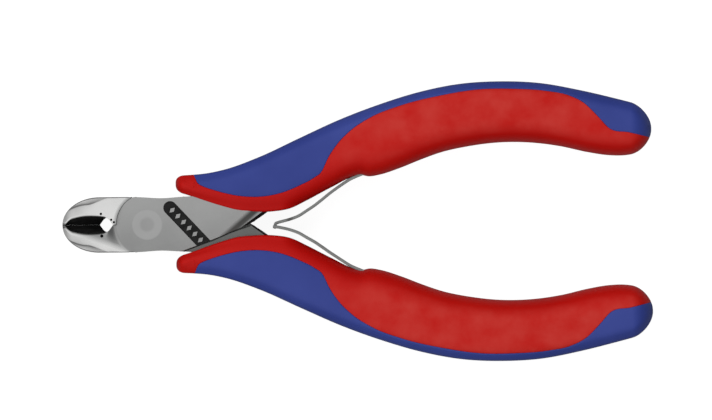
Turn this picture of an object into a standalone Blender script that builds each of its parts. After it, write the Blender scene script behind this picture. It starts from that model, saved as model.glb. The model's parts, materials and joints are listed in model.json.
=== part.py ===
"""Oblique flush cutter for electronics work, 115 mm long, lying flat with its jaws closed.

Frame: -X is the jaw end, +X the handle end, +Z up.  The tool lies on Z = 0, its centre line
is Y = 0, and X = 0 is the middle of its length.  Outlines are drawn in millimetres from the
rivet's centre, with Z measured from the lap joint's middle plane, and `world` moves them
into the frame.  The front half carries the lower jaw, the top lap plate and the upper (+Y)
handle.  The rear half is the same forging turned over about the centre line.
"""
import math

import bmesh
import bpy
import numpy as np
from mathutils import Matrix, Vector

MM = 0.001

# Overall sizes, millimetres
LENGTH = 115.0
JAW_REACH = 16.58            # rivet centre to jaw tip
GRIP_HALF_THICKNESS = 6.75   # at the belly of the grips
PIVOT_X = JAW_REACH - LENGTH / 2

# Lap joint and jaws
HEAD_HALF_WIDTH = 5.4
HEAD_ELLIPSE_X = -9.3        # where the round front of the head starts
LAP_HALF = 3.45              # half the joint's thickness
LAP_GAP = 0.04               # each plate stops this far from the middle plane
SHANK_LOW = 2.6              # the shank is thinner on the side away from its own plate
LAP_RADIUS = 6.0             # round end of each plate, about the rivet
LAP_CLEARANCE = 0.1
JAW_OVERLAP = 0.7            # a plate runs this far into its own jaw
SHANK_CLEARANCE = 0.25       # between a shank and the other half's plate
SHANK_INSET = 0.08           # the shank's outline lies this far inside the plate's
SHANK_STEP = 0.3             # and it ends this far under the plate's face
JAW_TOP = 4.3
JAW_BOTTOM = -3.4
JAW_GAP = 0.03               # each jaw stops this far from the centre line
DOME_CENTRE = (-6.5, 0.0, -2.0)
DOME_RADII = (10.6, 7.0, 6.25)
FLUSH_TIP_Z = -0.8           # height of the flush face under the tip
FLUSH_SLOPE = math.radians(14)
VALLEY_EDGE = 0.12           # the cutting edges stand this far above the flush face
RELIEF_HOLE_X = -7.85
RELIEF_HOLE_RADIUS = 1.25
EDGE_BREAK = 0.2

# Rivet
RIVET_HEAD_RADIUS = 3.0
RIVET_SHAFT_RADIUS = 2.3
RIVET_HEAD_DEPTH = 1.2
RIVET_TAPER = 0.4            # height of the cone between head and shaft
RIVET_DIMPLE_RADIUS = 1.35
RIVET_DIMPLE_DEPTH = 0.15
RIVET_FIT = 0.1

# Marking recess in the top plate
BAR_START = (4.5, 3.2)
BAR_ANGLE = math.radians(-47)
BAR_LENGTH = 12.0
BAR_HALF_WIDTH = 1.32
BAR_DEPTH = 0.25

# Handles
TANG_HALF = 2.4
TANG_FIT = 0.25
NOSE_X = 5.4
NOSE_ROUND = 2.5
TAIL_X = LENGTH - JAW_REACH
TAIL_ROUND = 4.2
OVERMOULD = 1.6              # thickness of the outer shell of each grip
SHELL_GAP = 0.2              # between shell and core
SEAM_GAP = 0.1               # along the visible edge of the shell
SECTION_POWER = 2.5
SECTION_SIDES = 20

# Return springs
LEAF_THICKNESS = 0.45
LEAF_WIDTH = 4.0
LEAF_HINGE = (41.8, 9.4)     # where a leaf enters its grip
LEAF_ROOT_LENGTH = 6.0
LEAF_ROOT_ANGLE = math.radians(22)
TONGUE_WIDTH = 1.5
TONGUE_END_X = 26.6
WINDOW_WIDTH = 2.4
WINDOW_X = (24.6, 27.2)
SPRING_RIVET_OFFSET = 4.0
SPRING_RIVET_RADIUS = 0.7
SPRING_RIVET_HEAD_RADIUS = 1.2
SPRING_RIVET_HEAD = 0.45
SPRING_RIVET_TOP = 6.4
SPRING_RIVET_SEAT = 0.08     # between a leaf and its rivet's head
PIN_START = 0.2              # a pin starts this far under its leaf
PIN_SLOT_LENGTH = 7.2
LEAF_HOLE_RADIUS = 1.1
LEAF_HOLE_LENGTH = 6.0
POCKET_GAP = 0.3             # round a leaf's root and its rivet
POCKET_MOUTH = 2.6           # the pocket starts this far before the hinge
POCKET_RISE = 2.4            # room for the root's swing
POCKET_END = 0.5

# Half distances from the centre line to the edges of a grip, by distance from the rivet
GRIP_OUTER = [
    (5.0, 9.1), (9.2, 9.75), (15.0, 10.5), (22.0, 13.0), (29.85, 16.6), (37.65, 20.1),
    (45.45, 23.0), (53.3, 25.35), (61.0, 26.82), (68.9, 27.25), (76.7, 26.85), (84.5, 25.4),
    (92.3, 23.5), (99.0, 21.7),
]
GRIP_INNER = [
    (5.0, 6.0), (9.2, 5.2), (12.7, 4.0), (17.4, 2.6), (20.5, 2.32), (24.5, 2.32), (27.9, 2.9),
    (31.0, 4.35), (35.7, 6.8), (40.4, 9.0), (41.55, 9.25), (43.3, 8.97), (45.45, 9.3),
    (49.35, 10.55), (53.3, 12.1), (57.2, 13.47), (63.0, 14.7), (68.9, 15.35), (74.7, 15.27),
    (80.6, 14.5), (86.4, 13.32), (92.3, 12.68), (99.0, 12.55),
]
GRIP_THICKNESS = [
    (5.0, 4.5), (12.0, 4.6), (20.0, 4.9), (30.0, 5.5), (45.0, 6.35), (60.0, 6.7),
    (72.0, 6.75), (90.0, 6.5), (99.0, 6.2),
]
# Edge of the outer shell on the faces of a grip: distance from the rivet, half distance
SHELL_EDGE = [
    (8.6, 9.0), (10.3, 7.7), (12.7, 6.9), (15.0, 6.15), (18.5, 5.42), (22.0, 5.3),
    (26.0, 5.85), (29.85, 7.3), (32.6, 8.75), (34.2, 10.1), (35.2, 12.3), (37.0, 15.1),
    (39.6, 17.8), (43.5, 20.4), (49.35, 22.7), (57.2, 24.6), (65.0, 25.75), (71.0, 25.8),
    (78.0, 25.3), (82.5, 24.4), (85.5, 22.9), (88.4, 20.1), (90.2, 18.0), (94.2, 17.0),
    (98.1, 16.0),
]
# Centre line of a leaf from near its tip to the grip, and the two tips: the upper leaf's
# hook turns down through the window near the lower leaf's end
LEAF_LINE = [
    (27.9, 1.12), (29.85, 1.85), (31.8, 3.0), (33.75, 4.4), (37.65, 7.1), (39.9, 8.5),
]
HOOK_TIP = [(24.97, -0.8), (25.12, -0.2), (25.6, 0.3), (26.5, 0.66)]
WINDOW_TIP = [(24.15, 0.4), (25.2, 0.54), (26.5, 0.76)]
# Edges of the flat steel of a handle, from the head to the end of the tang
TANG_INNER = [
    (20.8, 0.85), (24.0, 3.0), (28.0, 5.7), (33.75, 9.3), (41.5, 12.9), (49.0, 15.3),
    (57.0, 17.6), (69.0, 19.4), (82.0, 18.9),
]
TANG_OUTER = [
    (82.0, 21.6), (69.0, 23.0), (57.0, 22.3), (49.0, 20.5), (41.5, 18.2), (33.75, 15.0),
    (24.0, 10.0), (18.0, 7.6), (13.0, 6.3),
]
SHANK_OUTER = [
    (25.95, 4.8), (23.0, 4.45), (20.0, 4.35), (16.0, 5.0), (12.0, 5.8), (8.0, 5.35),
]
# Back edge of a lap plate, from the head's side to the crotch, then the crotch's own edge
BACK_EDGE = [(7.0, -5.15), (12.6, -3.1), (16.4, -1.5), (20.15, 0.02)]
CROTCH_EDGE = [(22.2, 1.35), (24.3, 2.85), (25.85, 4.15)]
SHANK_CROTCH = [(20.7, 0.32), (22.2, 1.46), (24.3, 2.97), (25.7, 3.95)]
# The hollow between the jaws: distance from the rivet, half width
VALLEY = [
    (-15.85, 0.12), (-15.3, 0.5), (-14.6, 1.07), (-13.8, 1.42), (-12.9, 1.6), (-11.0, 1.64),
    (-9.2, 1.64), (-8.4, 1.2),
]


def clear_scene():
    for item in list(bpy.data.objects):
        bpy.data.objects.remove(item, do_unlink=True)
    for group in list(bpy.data.collections):
        bpy.data.collections.remove(group)


def new_collection(name):
    group = bpy.data.collections.new(name)
    bpy.context.scene.collection.children.link(group)
    return group


def new_material(name, colour, roughness, metallic):
    material = bpy.data.materials.new(name)
    material.use_nodes = True
    shader = material.node_tree.nodes["Principled BSDF"]
    shader.inputs["Base Color"].default_value = (*colour, 1.0)
    shader.inputs["Roughness"].default_value = roughness
    shader.inputs["Metallic"].default_value = metallic
    return material


def world(x, y, z):
    """A point given from the rivet's centre, in millimetres, as a point of the frame."""
    return Vector(((x + PIVOT_X) * MM, y * MM, (z + GRIP_HALF_THICKNESS) * MM))


def add(name, mesh, group):
    item = bpy.data.objects.new(name, mesh)
    group.objects.link(item)
    return item


def as_helper(item):
    """Mark a solid that only cuts or joins others."""
    item.hide_render = True
    item.display_type = "WIRE"
    return item


def boolean(item, other, operation):
    step = item.modifiers.new(operation.lower() + "_" + other.name, "BOOLEAN")
    step.operation = operation
    step.solver = "EXACT"
    step.object = other
    return item


def break_edges(item, width):
    """Chamfer the sharp edges of an extruded plate."""
    bevel = item.modifiers.new("edge_break", "BEVEL")
    bevel.width = width * MM
    bevel.segments = 1
    bevel.limit_method = "ANGLE"
    bevel.angle_limit = math.radians(50)
    return item


def value_at(table, x):
    """A smooth curve through (x, value) pairs, by cubic pieces with averaged slopes."""
    xs = np.array([p[0] for p in table])
    vs = np.array([p[1] for p in table])
    slopes = np.gradient(vs, xs)
    i = int(np.clip(np.searchsorted(xs, x) - 1, 0, len(xs) - 2))
    step = xs[i + 1] - xs[i]
    t = (x - xs[i]) / step
    low = vs[i] * (1 + 2 * t) * (1 - t) ** 2 + slopes[i] * step * t * (1 - t) ** 2
    high = vs[i + 1] * t * t * (3 - 2 * t) + slopes[i + 1] * step * t * t * (t - 1)
    return float(low + high)


def smooth_line(points, steps):
    """Points along a Catmull-Rom curve through the given points."""
    pts = [Vector(p) for p in points]
    pts = [2 * pts[0] - pts[1]] + pts + [2 * pts[-1] - pts[-2]]
    line = []
    for a, b, c, d in zip(pts, pts[1:], pts[2:], pts[3:]):
        for k in range(steps):
            t = k / steps
            linear = (c - a) * t
            square = (2 * a - 5 * b + 4 * c - d) * t * t
            cube = (3 * b - a - 3 * c + d) * t ** 3
            line.append(tuple(b + (linear + square + cube) / 2))
    line.append(tuple(pts[-2]))
    return line


def arc(centre, radius, start, end, steps):
    """Points on an arc, angles in degrees."""
    angles = np.radians(np.linspace(start, end, steps + 1))
    return [(centre[0] + radius * math.cos(a), centre[1] + radius * math.sin(a)) for a in angles]


def turned(outline, side):
    return [(x, side * y) for x, y in outline]


def heights(low, high, side):
    """A height range about the joint's middle plane, turned over with the rear half."""
    return (low, high) if side > 0 else (-high, -low)


def grown(outline, distance):
    """A closed outline moved outwards by a distance, whichever way round it runs."""
    pts = [Vector(p) for p in outline]
    count = len(pts)
    area = sum(pts[i - 1].cross(pts[i]) for i in range(count))
    sign = 1.0 if area > 0 else -1.0
    moved = []
    for i in range(count):
        before = (pts[i] - pts[i - 1]).normalized()
        after = (pts[(i + 1) % count] - pts[i]).normalized()
        normal = (Vector((before.y, -before.x)) + Vector((after.y, -after.x))).normalized()
        spread = max(0.5, normal.dot(Vector((after.y, -after.x))))
        moved.append(tuple(pts[i] + normal * sign * distance / spread))
    return moved


def plate(name, outline, span, group):
    """A flat outline extruded between two heights: a filled curve made into a mesh."""
    curve = bpy.data.curves.new(name, "CURVE")
    curve.dimensions = "2D"
    curve.fill_mode = "BOTH"
    curve.extrude = (span[1] - span[0]) / 2 * MM
    spline = curve.splines.new("POLY")
    spline.points.add(len(outline) - 1)
    for point, (x, y) in zip(spline.points, outline):
        point.co = ((x + PIVOT_X) * MM, y * MM, 0.0, 1.0)
    spline.use_cyclic_u = True
    drawn = add(name, curve, group)
    drawn.location.z = ((span[0] + span[1]) / 2 + GRIP_HALF_THICKNESS) * MM
    return curve_to_mesh(drawn, group)


def curve_to_mesh(drawn, group):
    """A filled curve turned into a clean closed mesh, at the same place."""
    name = drawn.name
    bpy.context.view_layer.update()
    graph = bpy.context.evaluated_depsgraph_get()
    mesh = bpy.data.meshes.new_from_object(drawn.evaluated_get(graph))
    place = drawn.matrix_world.copy()
    bpy.data.objects.remove(drawn, do_unlink=True)
    body = bmesh.new()
    body.from_mesh(mesh)
    bmesh.ops.remove_doubles(body, verts=body.verts, dist=0.002 * MM)
    bmesh.ops.recalc_face_normals(body, faces=body.faces)
    body.to_mesh(mesh)
    body.free()
    solid = add(name, mesh, group)
    solid.matrix_world = place
    return solid


def loft(name, rings, group):
    """A closed skin over rings of points; a ring of one point closes an end."""
    body = bmesh.new()
    rows = [[body.verts.new(world(*p)) for p in ring] for ring in rings]
    for first, second in zip(rows, rows[1:]):
        count = max(len(first), len(second))
        for k in range(count):
            after = (k + 1) % count
            corners = [first[k % len(first)], first[after % len(first)]]
            corners += [second[after % len(second)], second[k % len(second)]]
            distinct = list(dict.fromkeys(corners))
            body.faces.new(distinct)
    for ring in (rows[0], rows[-1]):
        if len(ring) > 2:
            body.faces.new(ring)
    bmesh.ops.recalc_face_normals(body, faces=body.faces)
    mesh = bpy.data.meshes.new(name)
    body.to_mesh(mesh)
    body.free()
    return add(name, mesh, group)


def cylinder(name, centre, axis, radius, length, group, sides=24):
    """A cylinder about a point, its axis given as a direction."""
    body = bmesh.new()
    bmesh.ops.create_cone(
        body, cap_ends=True, segments=sides, radius1=radius * MM, radius2=radius * MM,
        depth=length * MM,
    )
    mesh = bpy.data.meshes.new(name)
    body.to_mesh(mesh)
    body.free()
    item = add(name, mesh, group)
    turn = Vector((0, 0, 1)).rotation_difference(Vector(axis))
    item.matrix_world = Matrix.Translation(world(*centre)) @ turn.to_matrix().to_4x4()
    return item


def turned_solid(name, profile, group, steps=28):
    """A profile of (radius, height) pairs, outer side top to bottom, spun about the rivet."""
    body = bmesh.new()
    verts = [body.verts.new((r * MM, 0.0, z * MM)) for r, z in profile]
    for a, b in zip(verts, verts[1:]):
        body.edges.new((a, b))
    mesh = bpy.data.meshes.new(name)
    body.to_mesh(mesh)
    body.free()
    item = add(name, mesh, group)
    item.location = world(0, 0, 0)
    spin = item.modifiers.new("turn", "SCREW")
    spin.steps = steps
    spin.render_steps = steps
    spin.use_merge_vertices = True
    spin.merge_threshold = 0.002 * MM
    spin.use_normal_calculate = False
    return item


# ---------------------------------------------------------------- head and handles of steel

def head_side(start, end, steps):
    """The head's outer edge between two X values, on the +Y side."""
    line = []
    for x in np.linspace(start, end, steps + 1):
        if x < HEAD_ELLIPSE_X:
            across = (HEAD_ELLIPSE_X - x) / (JAW_REACH + HEAD_ELLIPSE_X)
            line.append((x, HEAD_HALF_WIDTH * math.sqrt(max(0.0, 1 - across * across))))
        else:
            waist = 0.3 * math.exp(-(((x - 2.8) / 3.4) ** 2))
            line.append((x, HEAD_HALF_WIDTH - waist))
    return line


def flush_height(x):
    return FLUSH_TIP_Z - (x + JAW_REACH) * math.tan(FLUSH_SLOPE)


def jaw_front(steps):
    """The round front of one jaw, from the tip to where the sides run straight."""
    centre = (HEAD_ELLIPSE_X, 0.0)
    reach = JAW_REACH + HEAD_ELLIPSE_X
    angles = np.radians(np.linspace(180 - 0.5, 90, steps + 1))
    return [
        (centre[0] + reach * math.cos(a), HEAD_HALF_WIDTH * math.sin(a)) for a in angles
    ]


def jaw_block(name, side, group, tools):
    """One jaw: its outline extruded, domed above, ground flush below, with half the valley.

    side +1 gives the rear half's jaw (+Y), -1 the front half's.
    """
    reach = LAP_RADIUS + LAP_CLEARANCE
    corner = math.degrees(math.asin(HEAD_HALF_WIDTH / reach))
    outline = jaw_front(14)
    outline += arc((0, 0), reach, 180 - corner, 180 - math.degrees(JAW_GAP / reach), 10)
    outline = [(x, max(y, JAW_GAP)) for x, y in outline]
    block = plate(name, turned(outline, side), (JAW_BOTTOM, JAW_TOP), group)
    boolean(block, tools["dome"], "INTERSECT")
    boolean(block, tools["under_jaws"], "DIFFERENCE")
    boolean(block, tools["valley"], "DIFFERENCE")
    boolean(block, tools["relief"], "DIFFERENCE")
    return as_helper(block)


def plate_outline():
    """The front half's top plate, in plan: head, shank and the start of the tang."""
    outline = arc((0, 0), LAP_RADIUS, 180, 117.5, 9)
    outline += head_side(-2.4, 8.0, 6)
    outline += smooth_line(list(reversed(SHANK_OUTER)), 2)[1:]
    outline += list(reversed(BACK_EDGE + CROTCH_EDGE))
    outline += turned(list(reversed(head_side(-2.4, 6.0, 4))), -1)
    outline += arc((0, 0), LAP_RADIUS + JAW_OVERLAP, 232.5, 181, 8)
    return outline


def shank_outline():
    """The part of a handle that is as thick as the joint, clear of the other half's plate."""
    inner = [(x, -y + SHANK_CLEARANCE) for x, y in BACK_EDGE[:-1]]
    outer = smooth_line(SHANK_OUTER, 2)
    return grown(inner + SHANK_CROTCH + outer[:-1] + [(8.3, 5.28)], -SHANK_INSET)


def tang_outline():
    """The thinner steel inside a grip."""
    inner = smooth_line(TANG_INNER, 2)
    end = [(83.4, 19.5), (83.4, 20.8)]
    outer = smooth_line(TANG_OUTER, 2)
    return inner + end + outer + [(12.6, 4.2), (17.4, 2.1)]


def make_half(name, side, parts, tools, material):
    """A forged half: side +1 has the top plate and the upper handle."""
    top = plate(
        name, turned(plate_outline(), side), heights(LAP_GAP, LAP_HALF, side), parts,
    )
    break_edges(top, EDGE_BREAK)
    jaw = jaw_block(name + "_jaw", -side, tools["group"], tools)
    shank = plate(
        name + "_shank", turned(shank_outline(), side),
        heights(-SHANK_LOW, LAP_HALF - SHANK_STEP, side), tools["group"],
    )
    as_helper(shank)
    tang = plate(
        name + "_tang", turned(tang_outline(), side), (-TANG_HALF, TANG_HALF), tools["group"],
    )
    as_helper(break_edges(tang, 2 * EDGE_BREAK))
    for other in (jaw, shank, tang):
        boolean(top, other, "UNION")
    boolean(top, tools["bore"], "DIFFERENCE")
    if side > 0:
        boolean(top, tools["bar"], "DIFFERENCE")
    bore = spring_rivet(
        name + "_spring_bore", side, SPRING_RIVET_RADIUS + RIVET_FIT, 2 * SPRING_RIVET_TOP,
        tools["group"],
    )
    boolean(top, bore, "DIFFERENCE")
    top.data.materials.append(material)
    return top


def rivet_profile(fit, dimple):
    """Half the rivet's section, from the top's centre down its outer side."""
    head = RIVET_HEAD_RADIUS + fit
    shaft = RIVET_SHAFT_RADIUS + fit
    end = LAP_HALF + 10 * fit
    step = LAP_HALF - RIVET_HEAD_DEPTH - fit
    profile = [(0.0, end), (head, end)]
    if dimple:
        profile = [
            (0.0, end - RIVET_DIMPLE_DEPTH), (RIVET_DIMPLE_RADIUS * 0.6, end - RIVET_DIMPLE_DEPTH),
            (RIVET_DIMPLE_RADIUS, end), (head, end),
        ]
    profile += [(head, step), (shaft, step - RIVET_TAPER)]
    profile += [(shaft, RIVET_TAPER - step), (head, -step), (head, -end), (0.0, -end)]
    return profile


def valley_rings():
    """The hollow behind the cutting edges: wide above, closing to the flush face's edge."""
    rings = []
    for x, half in VALLEY:
        edge = flush_height(x) + VALLEY_EDGE
        rings.append([(x, -half, JAW_TOP + 1), (x, half, JAW_TOP + 1), (x, 0.0, edge)])
    return rings


def head_tools(group):
    """The solids that shape the head, kept out of the part."""
    tools = {"group": group}
    ball = bmesh.new()
    bmesh.ops.create_uvsphere(ball, u_segments=36, v_segments=24, radius=1.0)
    radii = Vector(DOME_RADII) * MM
    bmesh.ops.scale(ball, vec=radii, verts=ball.verts)
    mesh = bpy.data.meshes.new("dome")
    ball.to_mesh(mesh)
    ball.free()
    dome = add("dome", mesh, group)
    dome.location = world(*DOME_CENTRE)
    tools["dome"] = as_helper(dome)

    body = bmesh.new()
    bmesh.ops.create_cube(body, size=1.0)
    bmesh.ops.scale(body, vec=Vector((40, 20, 10)) * MM, verts=body.verts)
    mesh = bpy.data.meshes.new("under_jaws")
    body.to_mesh(mesh)
    body.free()
    under = add("under_jaws", mesh, group)
    under.rotation_euler.y = FLUSH_SLOPE
    down = Vector((math.sin(FLUSH_SLOPE), 0, math.cos(FLUSH_SLOPE))) * 5 * MM
    under.location = world(-JAW_REACH, 0, FLUSH_TIP_Z) - down
    tools["under_jaws"] = as_helper(under)

    tools["valley"] = as_helper(loft("valley", valley_rings(), group))
    tools["relief"] = as_helper(
        cylinder("relief", (RELIEF_HOLE_X, 0, 0), (0, 0, 1), RELIEF_HOLE_RADIUS, 14, group)
    )
    bore = turned_solid("bore", rivet_profile(RIVET_FIT, False), group)
    tools["bore"] = as_helper(bore)

    along = Vector((math.cos(BAR_ANGLE), math.sin(BAR_ANGLE)))
    end = Vector(BAR_START) + along * BAR_LENGTH
    lean = math.degrees(BAR_ANGLE)
    outline = arc(BAR_START, BAR_HALF_WIDTH, lean + 90, lean + 270, 12)
    outline += arc(end, BAR_HALF_WIDTH, lean - 90, lean + 90, 12)
    floor = LAP_HALF - BAR_DEPTH
    tools["bar"] = as_helper(plate("bar", outline, (floor, LAP_HALF + 1), group))
    return tools


# ------------------------------------------------------------------------------- grips

def end_rounding(x):
    """How far a section has closed in towards the round ends of the grip."""
    near = max(0.0, (NOSE_X + NOSE_ROUND - x) / NOSE_ROUND)
    far = max(0.0, (x - TAIL_X + TAIL_ROUND) / TAIL_ROUND)
    return math.sqrt(max(0.0, 1 - near * near)) * math.sqrt(max(0.0, 1 - far * far))


def grip_stations():
    """Where a grip's sections lie: close-set at its ends and at the notch by the leaf."""
    nose = [NOSE_X + NOSE_ROUND * (1 - math.cos(a)) for a in np.radians([0, 30, 55, 90])]
    middle = list(np.linspace(10.2, 91.8, 27))
    notch = [40.9, 41.7, 42.5, 43.9]
    spacing = [90, 62, 40, 20, 0]
    tail = [TAIL_X - TAIL_ROUND * (1 - math.cos(a)) for a in np.radians(spacing)]
    middle = [x for x in middle if min(abs(x - n) for n in notch) > 0.7]
    return sorted(nose + middle + notch + tail)


def grip_rings(side, inset):
    """Sections of a grip; inset shrinks them on every side."""
    rings = []
    for x in grip_stations():
        outer = value_at(GRIP_OUTER, x)
        inner = value_at(GRIP_INNER, x)
        close = end_rounding(x)
        centre = (outer + inner) / 2
        across = (outer - inner) / 2 * close
        deep = value_at(GRIP_THICKNESS, x) * close
        slide = inset * (1 - close) * math.copysign(1.0, LENGTH / 3 - x)
        if close < 0.01:
            rings.append([(x + slide, side * centre, 0.0)])
            continue
        ring = []
        for k in range(SECTION_SIDES):
            angle = 2 * math.pi * k / SECTION_SIDES
            c = math.cos(angle)
            s = math.sin(angle)
            y = math.copysign(abs(c) ** (2 / SECTION_POWER), c) * max(0.3, across - inset)
            z = math.copysign(abs(s) ** (2 / SECTION_POWER), s) * max(0.3, deep - inset)
            ring.append((x + slide, side * (centre + y), z))
        rings.append(ring)
    return rings


def shell_region(side, shift):
    """Everything outside the shell's edge, in plan, with the edge moved inwards by shift."""
    edge = list(SHELL_EDGE)
    edge = [(edge[0][0] - 1.2, edge[0][1] + 1.6)] + edge + [(99.6, 15.6)]
    region = edge + [(104.0, 16.0), (104.0, 32.0), (4.0, 32.0), (4.0, 11.0)]
    return turned(grown(region, shift), side)


def leaf_root_frame(side):
    """The direction of a leaf's root, in plan, and the direction from it to the tang."""
    along = Vector((math.cos(LEAF_ROOT_ANGLE), side * math.sin(LEAF_ROOT_ANGLE)))
    up = Vector((-math.sin(LEAF_ROOT_ANGLE), side * math.cos(LEAF_ROOT_ANGLE)))
    return along, up


def spring_rivet(name, side, radius, length, group):
    """The pin that holds a leaf to its tang, from under the leaf outwards."""
    along, up = leaf_root_frame(side)
    start = Vector(turned([LEAF_HINGE], side)[0]) + along * SPRING_RIVET_OFFSET
    middle = start + up * (length / 2 - LEAF_THICKNESS / 2 - 0.3)
    pin = cylinder(name, (*middle, 0.0), (*up, 0.0), radius, length, group, sides=20)
    return as_helper(pin)


def spring_pocket(name, side, group):
    """The space in the grip for the leaf's root and its swing."""
    gap = LEAF_THICKNESS / 2 + POCKET_GAP
    along, up = leaf_root_frame(1)
    mouth = Vector(LEAF_HINGE)
    end = mouth + along * (LEAF_ROOT_LENGTH + POCKET_END)
    low_start = mouth - along * POCKET_MOUTH - up * gap
    high_start = mouth - along * POCKET_MOUTH + up * (gap - 0.1)
    outline = [
        tuple(low_start), tuple(end - up * gap), tuple(end + up * POCKET_RISE),
        tuple(mouth + along * 0.4 + up * (gap - 0.1)), tuple(high_start),
    ]
    half = LEAF_WIDTH / 2 + POCKET_GAP
    return as_helper(plate(name, turned(outline, side), (-half, half), group))


def make_grip(prefix, side, parts, group, core_material, shell_material):
    """The two mouldings of one grip: a core with nose and face, and an outer shell."""
    core = loft(prefix + "_grip_core", grip_rings(side, 0.0), parts)
    shell = loft(prefix + "_grip_shell", grip_rings(side, 0.0), parts)
    inner = as_helper(loft(prefix + "_shell_inner", grip_rings(side, OVERMOULD), group))
    seat = as_helper(
        loft(prefix + "_shell_seat", grip_rings(side, OVERMOULD + SHELL_GAP), group)
    )
    region = as_helper(plate(prefix + "_shell_region", shell_region(side, 0.0), (-12, 12), group))
    recess = plate(prefix + "_shell_recess", shell_region(side, SEAM_GAP), (-13, 13), group)
    boolean(as_helper(recess), seat, "DIFFERENCE")
    boolean(shell, region, "INTERSECT")
    boolean(shell, inner, "DIFFERENCE")
    boolean(core, recess, "DIFFERENCE")
    shank = plate(
        prefix + "_shank_slot", turned(grown(shank_outline(), TANG_FIT), side),
        heights(-SHANK_LOW - TANG_FIT, LAP_HALF + TANG_FIT, side), group,
    )
    tang = plate(
        prefix + "_tang_slot", turned(grown(tang_outline(), TANG_FIT), side),
        (-TANG_HALF - TANG_FIT, TANG_HALF + TANG_FIT), group,
    )
    pocket = spring_pocket(prefix + "_spring_pocket", side, group)
    along, up = leaf_root_frame(side)
    head_place = Vector(turned([LEAF_HINGE], side)[0]) + along * SPRING_RIVET_OFFSET
    head_place -= up * (SPRING_RIVET_HEAD / 2 + PIN_START)
    head = cylinder(
        prefix + "_rivet_pocket", (*head_place, 0.0), (*up, 0.0),
        SPRING_RIVET_HEAD_RADIUS + POCKET_GAP, SPRING_RIVET_HEAD + 2 * POCKET_GAP, group,
        sides=20,
    )
    pin = spring_rivet(
        prefix + "_pin_slot", side, SPRING_RIVET_RADIUS + POCKET_GAP, PIN_SLOT_LENGTH, group
    )
    for cutter in (shank, tang, pocket, head, pin):
        boolean(core, as_helper(cutter), "DIFFERENCE")
    for item, material in ((core, core_material), (shell, shell_material)):
        item.data.materials.append(material)


# ----------------------------------------------------------------------------- springs

def leaf_outline(side):
    """A leaf seen from above: its centre line with half the thickness on each side."""
    along, _ = leaf_root_frame(1)
    root = [Vector(LEAF_HINGE) + along * d for d in (0.0, 2.5, LEAF_ROOT_LENGTH)]
    tip = HOOK_TIP if side > 0 else WINDOW_TIP
    line = [Vector(p) for p in smooth_line(tip + LEAF_LINE + [tuple(p) for p in root], 3)]
    left = []
    right = []
    for i, point in enumerate(line):
        ahead = line[min(i + 1, len(line) - 1)] - line[max(i - 1, 0)]
        normal = Vector((-ahead.y, ahead.x)).normalized() * LEAF_THICKNESS / 2
        left.append(tuple(point + normal))
        right.append(tuple(point - normal))
    return turned(left + list(reversed(right)), side)


def make_leaf(prefix, side, parts, group, material):
    """A leaf: the upper one ends in a tongue, which passes through the lower one's window."""
    half = LEAF_WIDTH / 2
    leaf = plate(prefix + "_leaf_spring", leaf_outline(side), (-half, half), parts)
    if side > 0:
        box = [(20.0, -3.0), (TONGUE_END_X, -3.0), (TONGUE_END_X, 3.0), (20.0, 3.0)]
        for level in (-1, 1):
            low, high = sorted((level * TONGUE_WIDTH / 2, level * (half + 1)))
            name = prefix + ("_tongue_above" if level > 0 else "_tongue_below")
            boolean(leaf, as_helper(plate(name, box, (low, high), group)), "DIFFERENCE")
    else:
        start, end = WINDOW_X
        box = [(start, -3.0), (end, -3.0), (end, 3.0), (start, 3.0)]
        span = (-WINDOW_WIDTH / 2, WINDOW_WIDTH / 2)
        boolean(leaf, as_helper(plate(prefix + "_window", box, span, group)), "DIFFERENCE")
    hole = spring_rivet(prefix + "_leaf_hole", side, LEAF_HOLE_RADIUS, LEAF_HOLE_LENGTH, group)
    boolean(leaf, hole, "DIFFERENCE")
    leaf.data.materials.append(material)
    move_origin(leaf, world(*turned([LEAF_HINGE], side)[0], 0.0))

    along, up = leaf_root_frame(side)
    seat = Vector(turned([LEAF_HINGE], side)[0]) + along * SPRING_RIVET_OFFSET
    under = seat - up * (LEAF_THICKNESS / 2 + SPRING_RIVET_SEAT + SPRING_RIVET_HEAD / 2)
    rivet = cylinder(
        prefix + "_spring_rivet", (*under, 0.0), (*up, 0.0), SPRING_RIVET_HEAD_RADIUS,
        SPRING_RIVET_HEAD, parts, sides=20,
    )
    middle = seat + up * (SPRING_RIVET_TOP / 2 - LEAF_THICKNESS / 2 - PIN_START)
    pin = cylinder(
        prefix + "_rivet_pin", (*middle, 0.0), (*up, 0.0), SPRING_RIVET_RADIUS,
        SPRING_RIVET_TOP, group, sides=20,
    )
    boolean(rivet, as_helper(pin), "UNION")
    rivet.data.materials.append(material)


def move_origin(item, place):
    """Put an object's origin at a point without moving its shape."""
    shift = item.matrix_world.inverted() @ place
    item.data.transform(Matrix.Translation(-shift))
    item.matrix_world = item.matrix_world @ Matrix.Translation(shift)


def shade(item):
    item.data.shade_smooth()
    item.data.set_sharp_from_angle(angle=math.radians(35))


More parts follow.
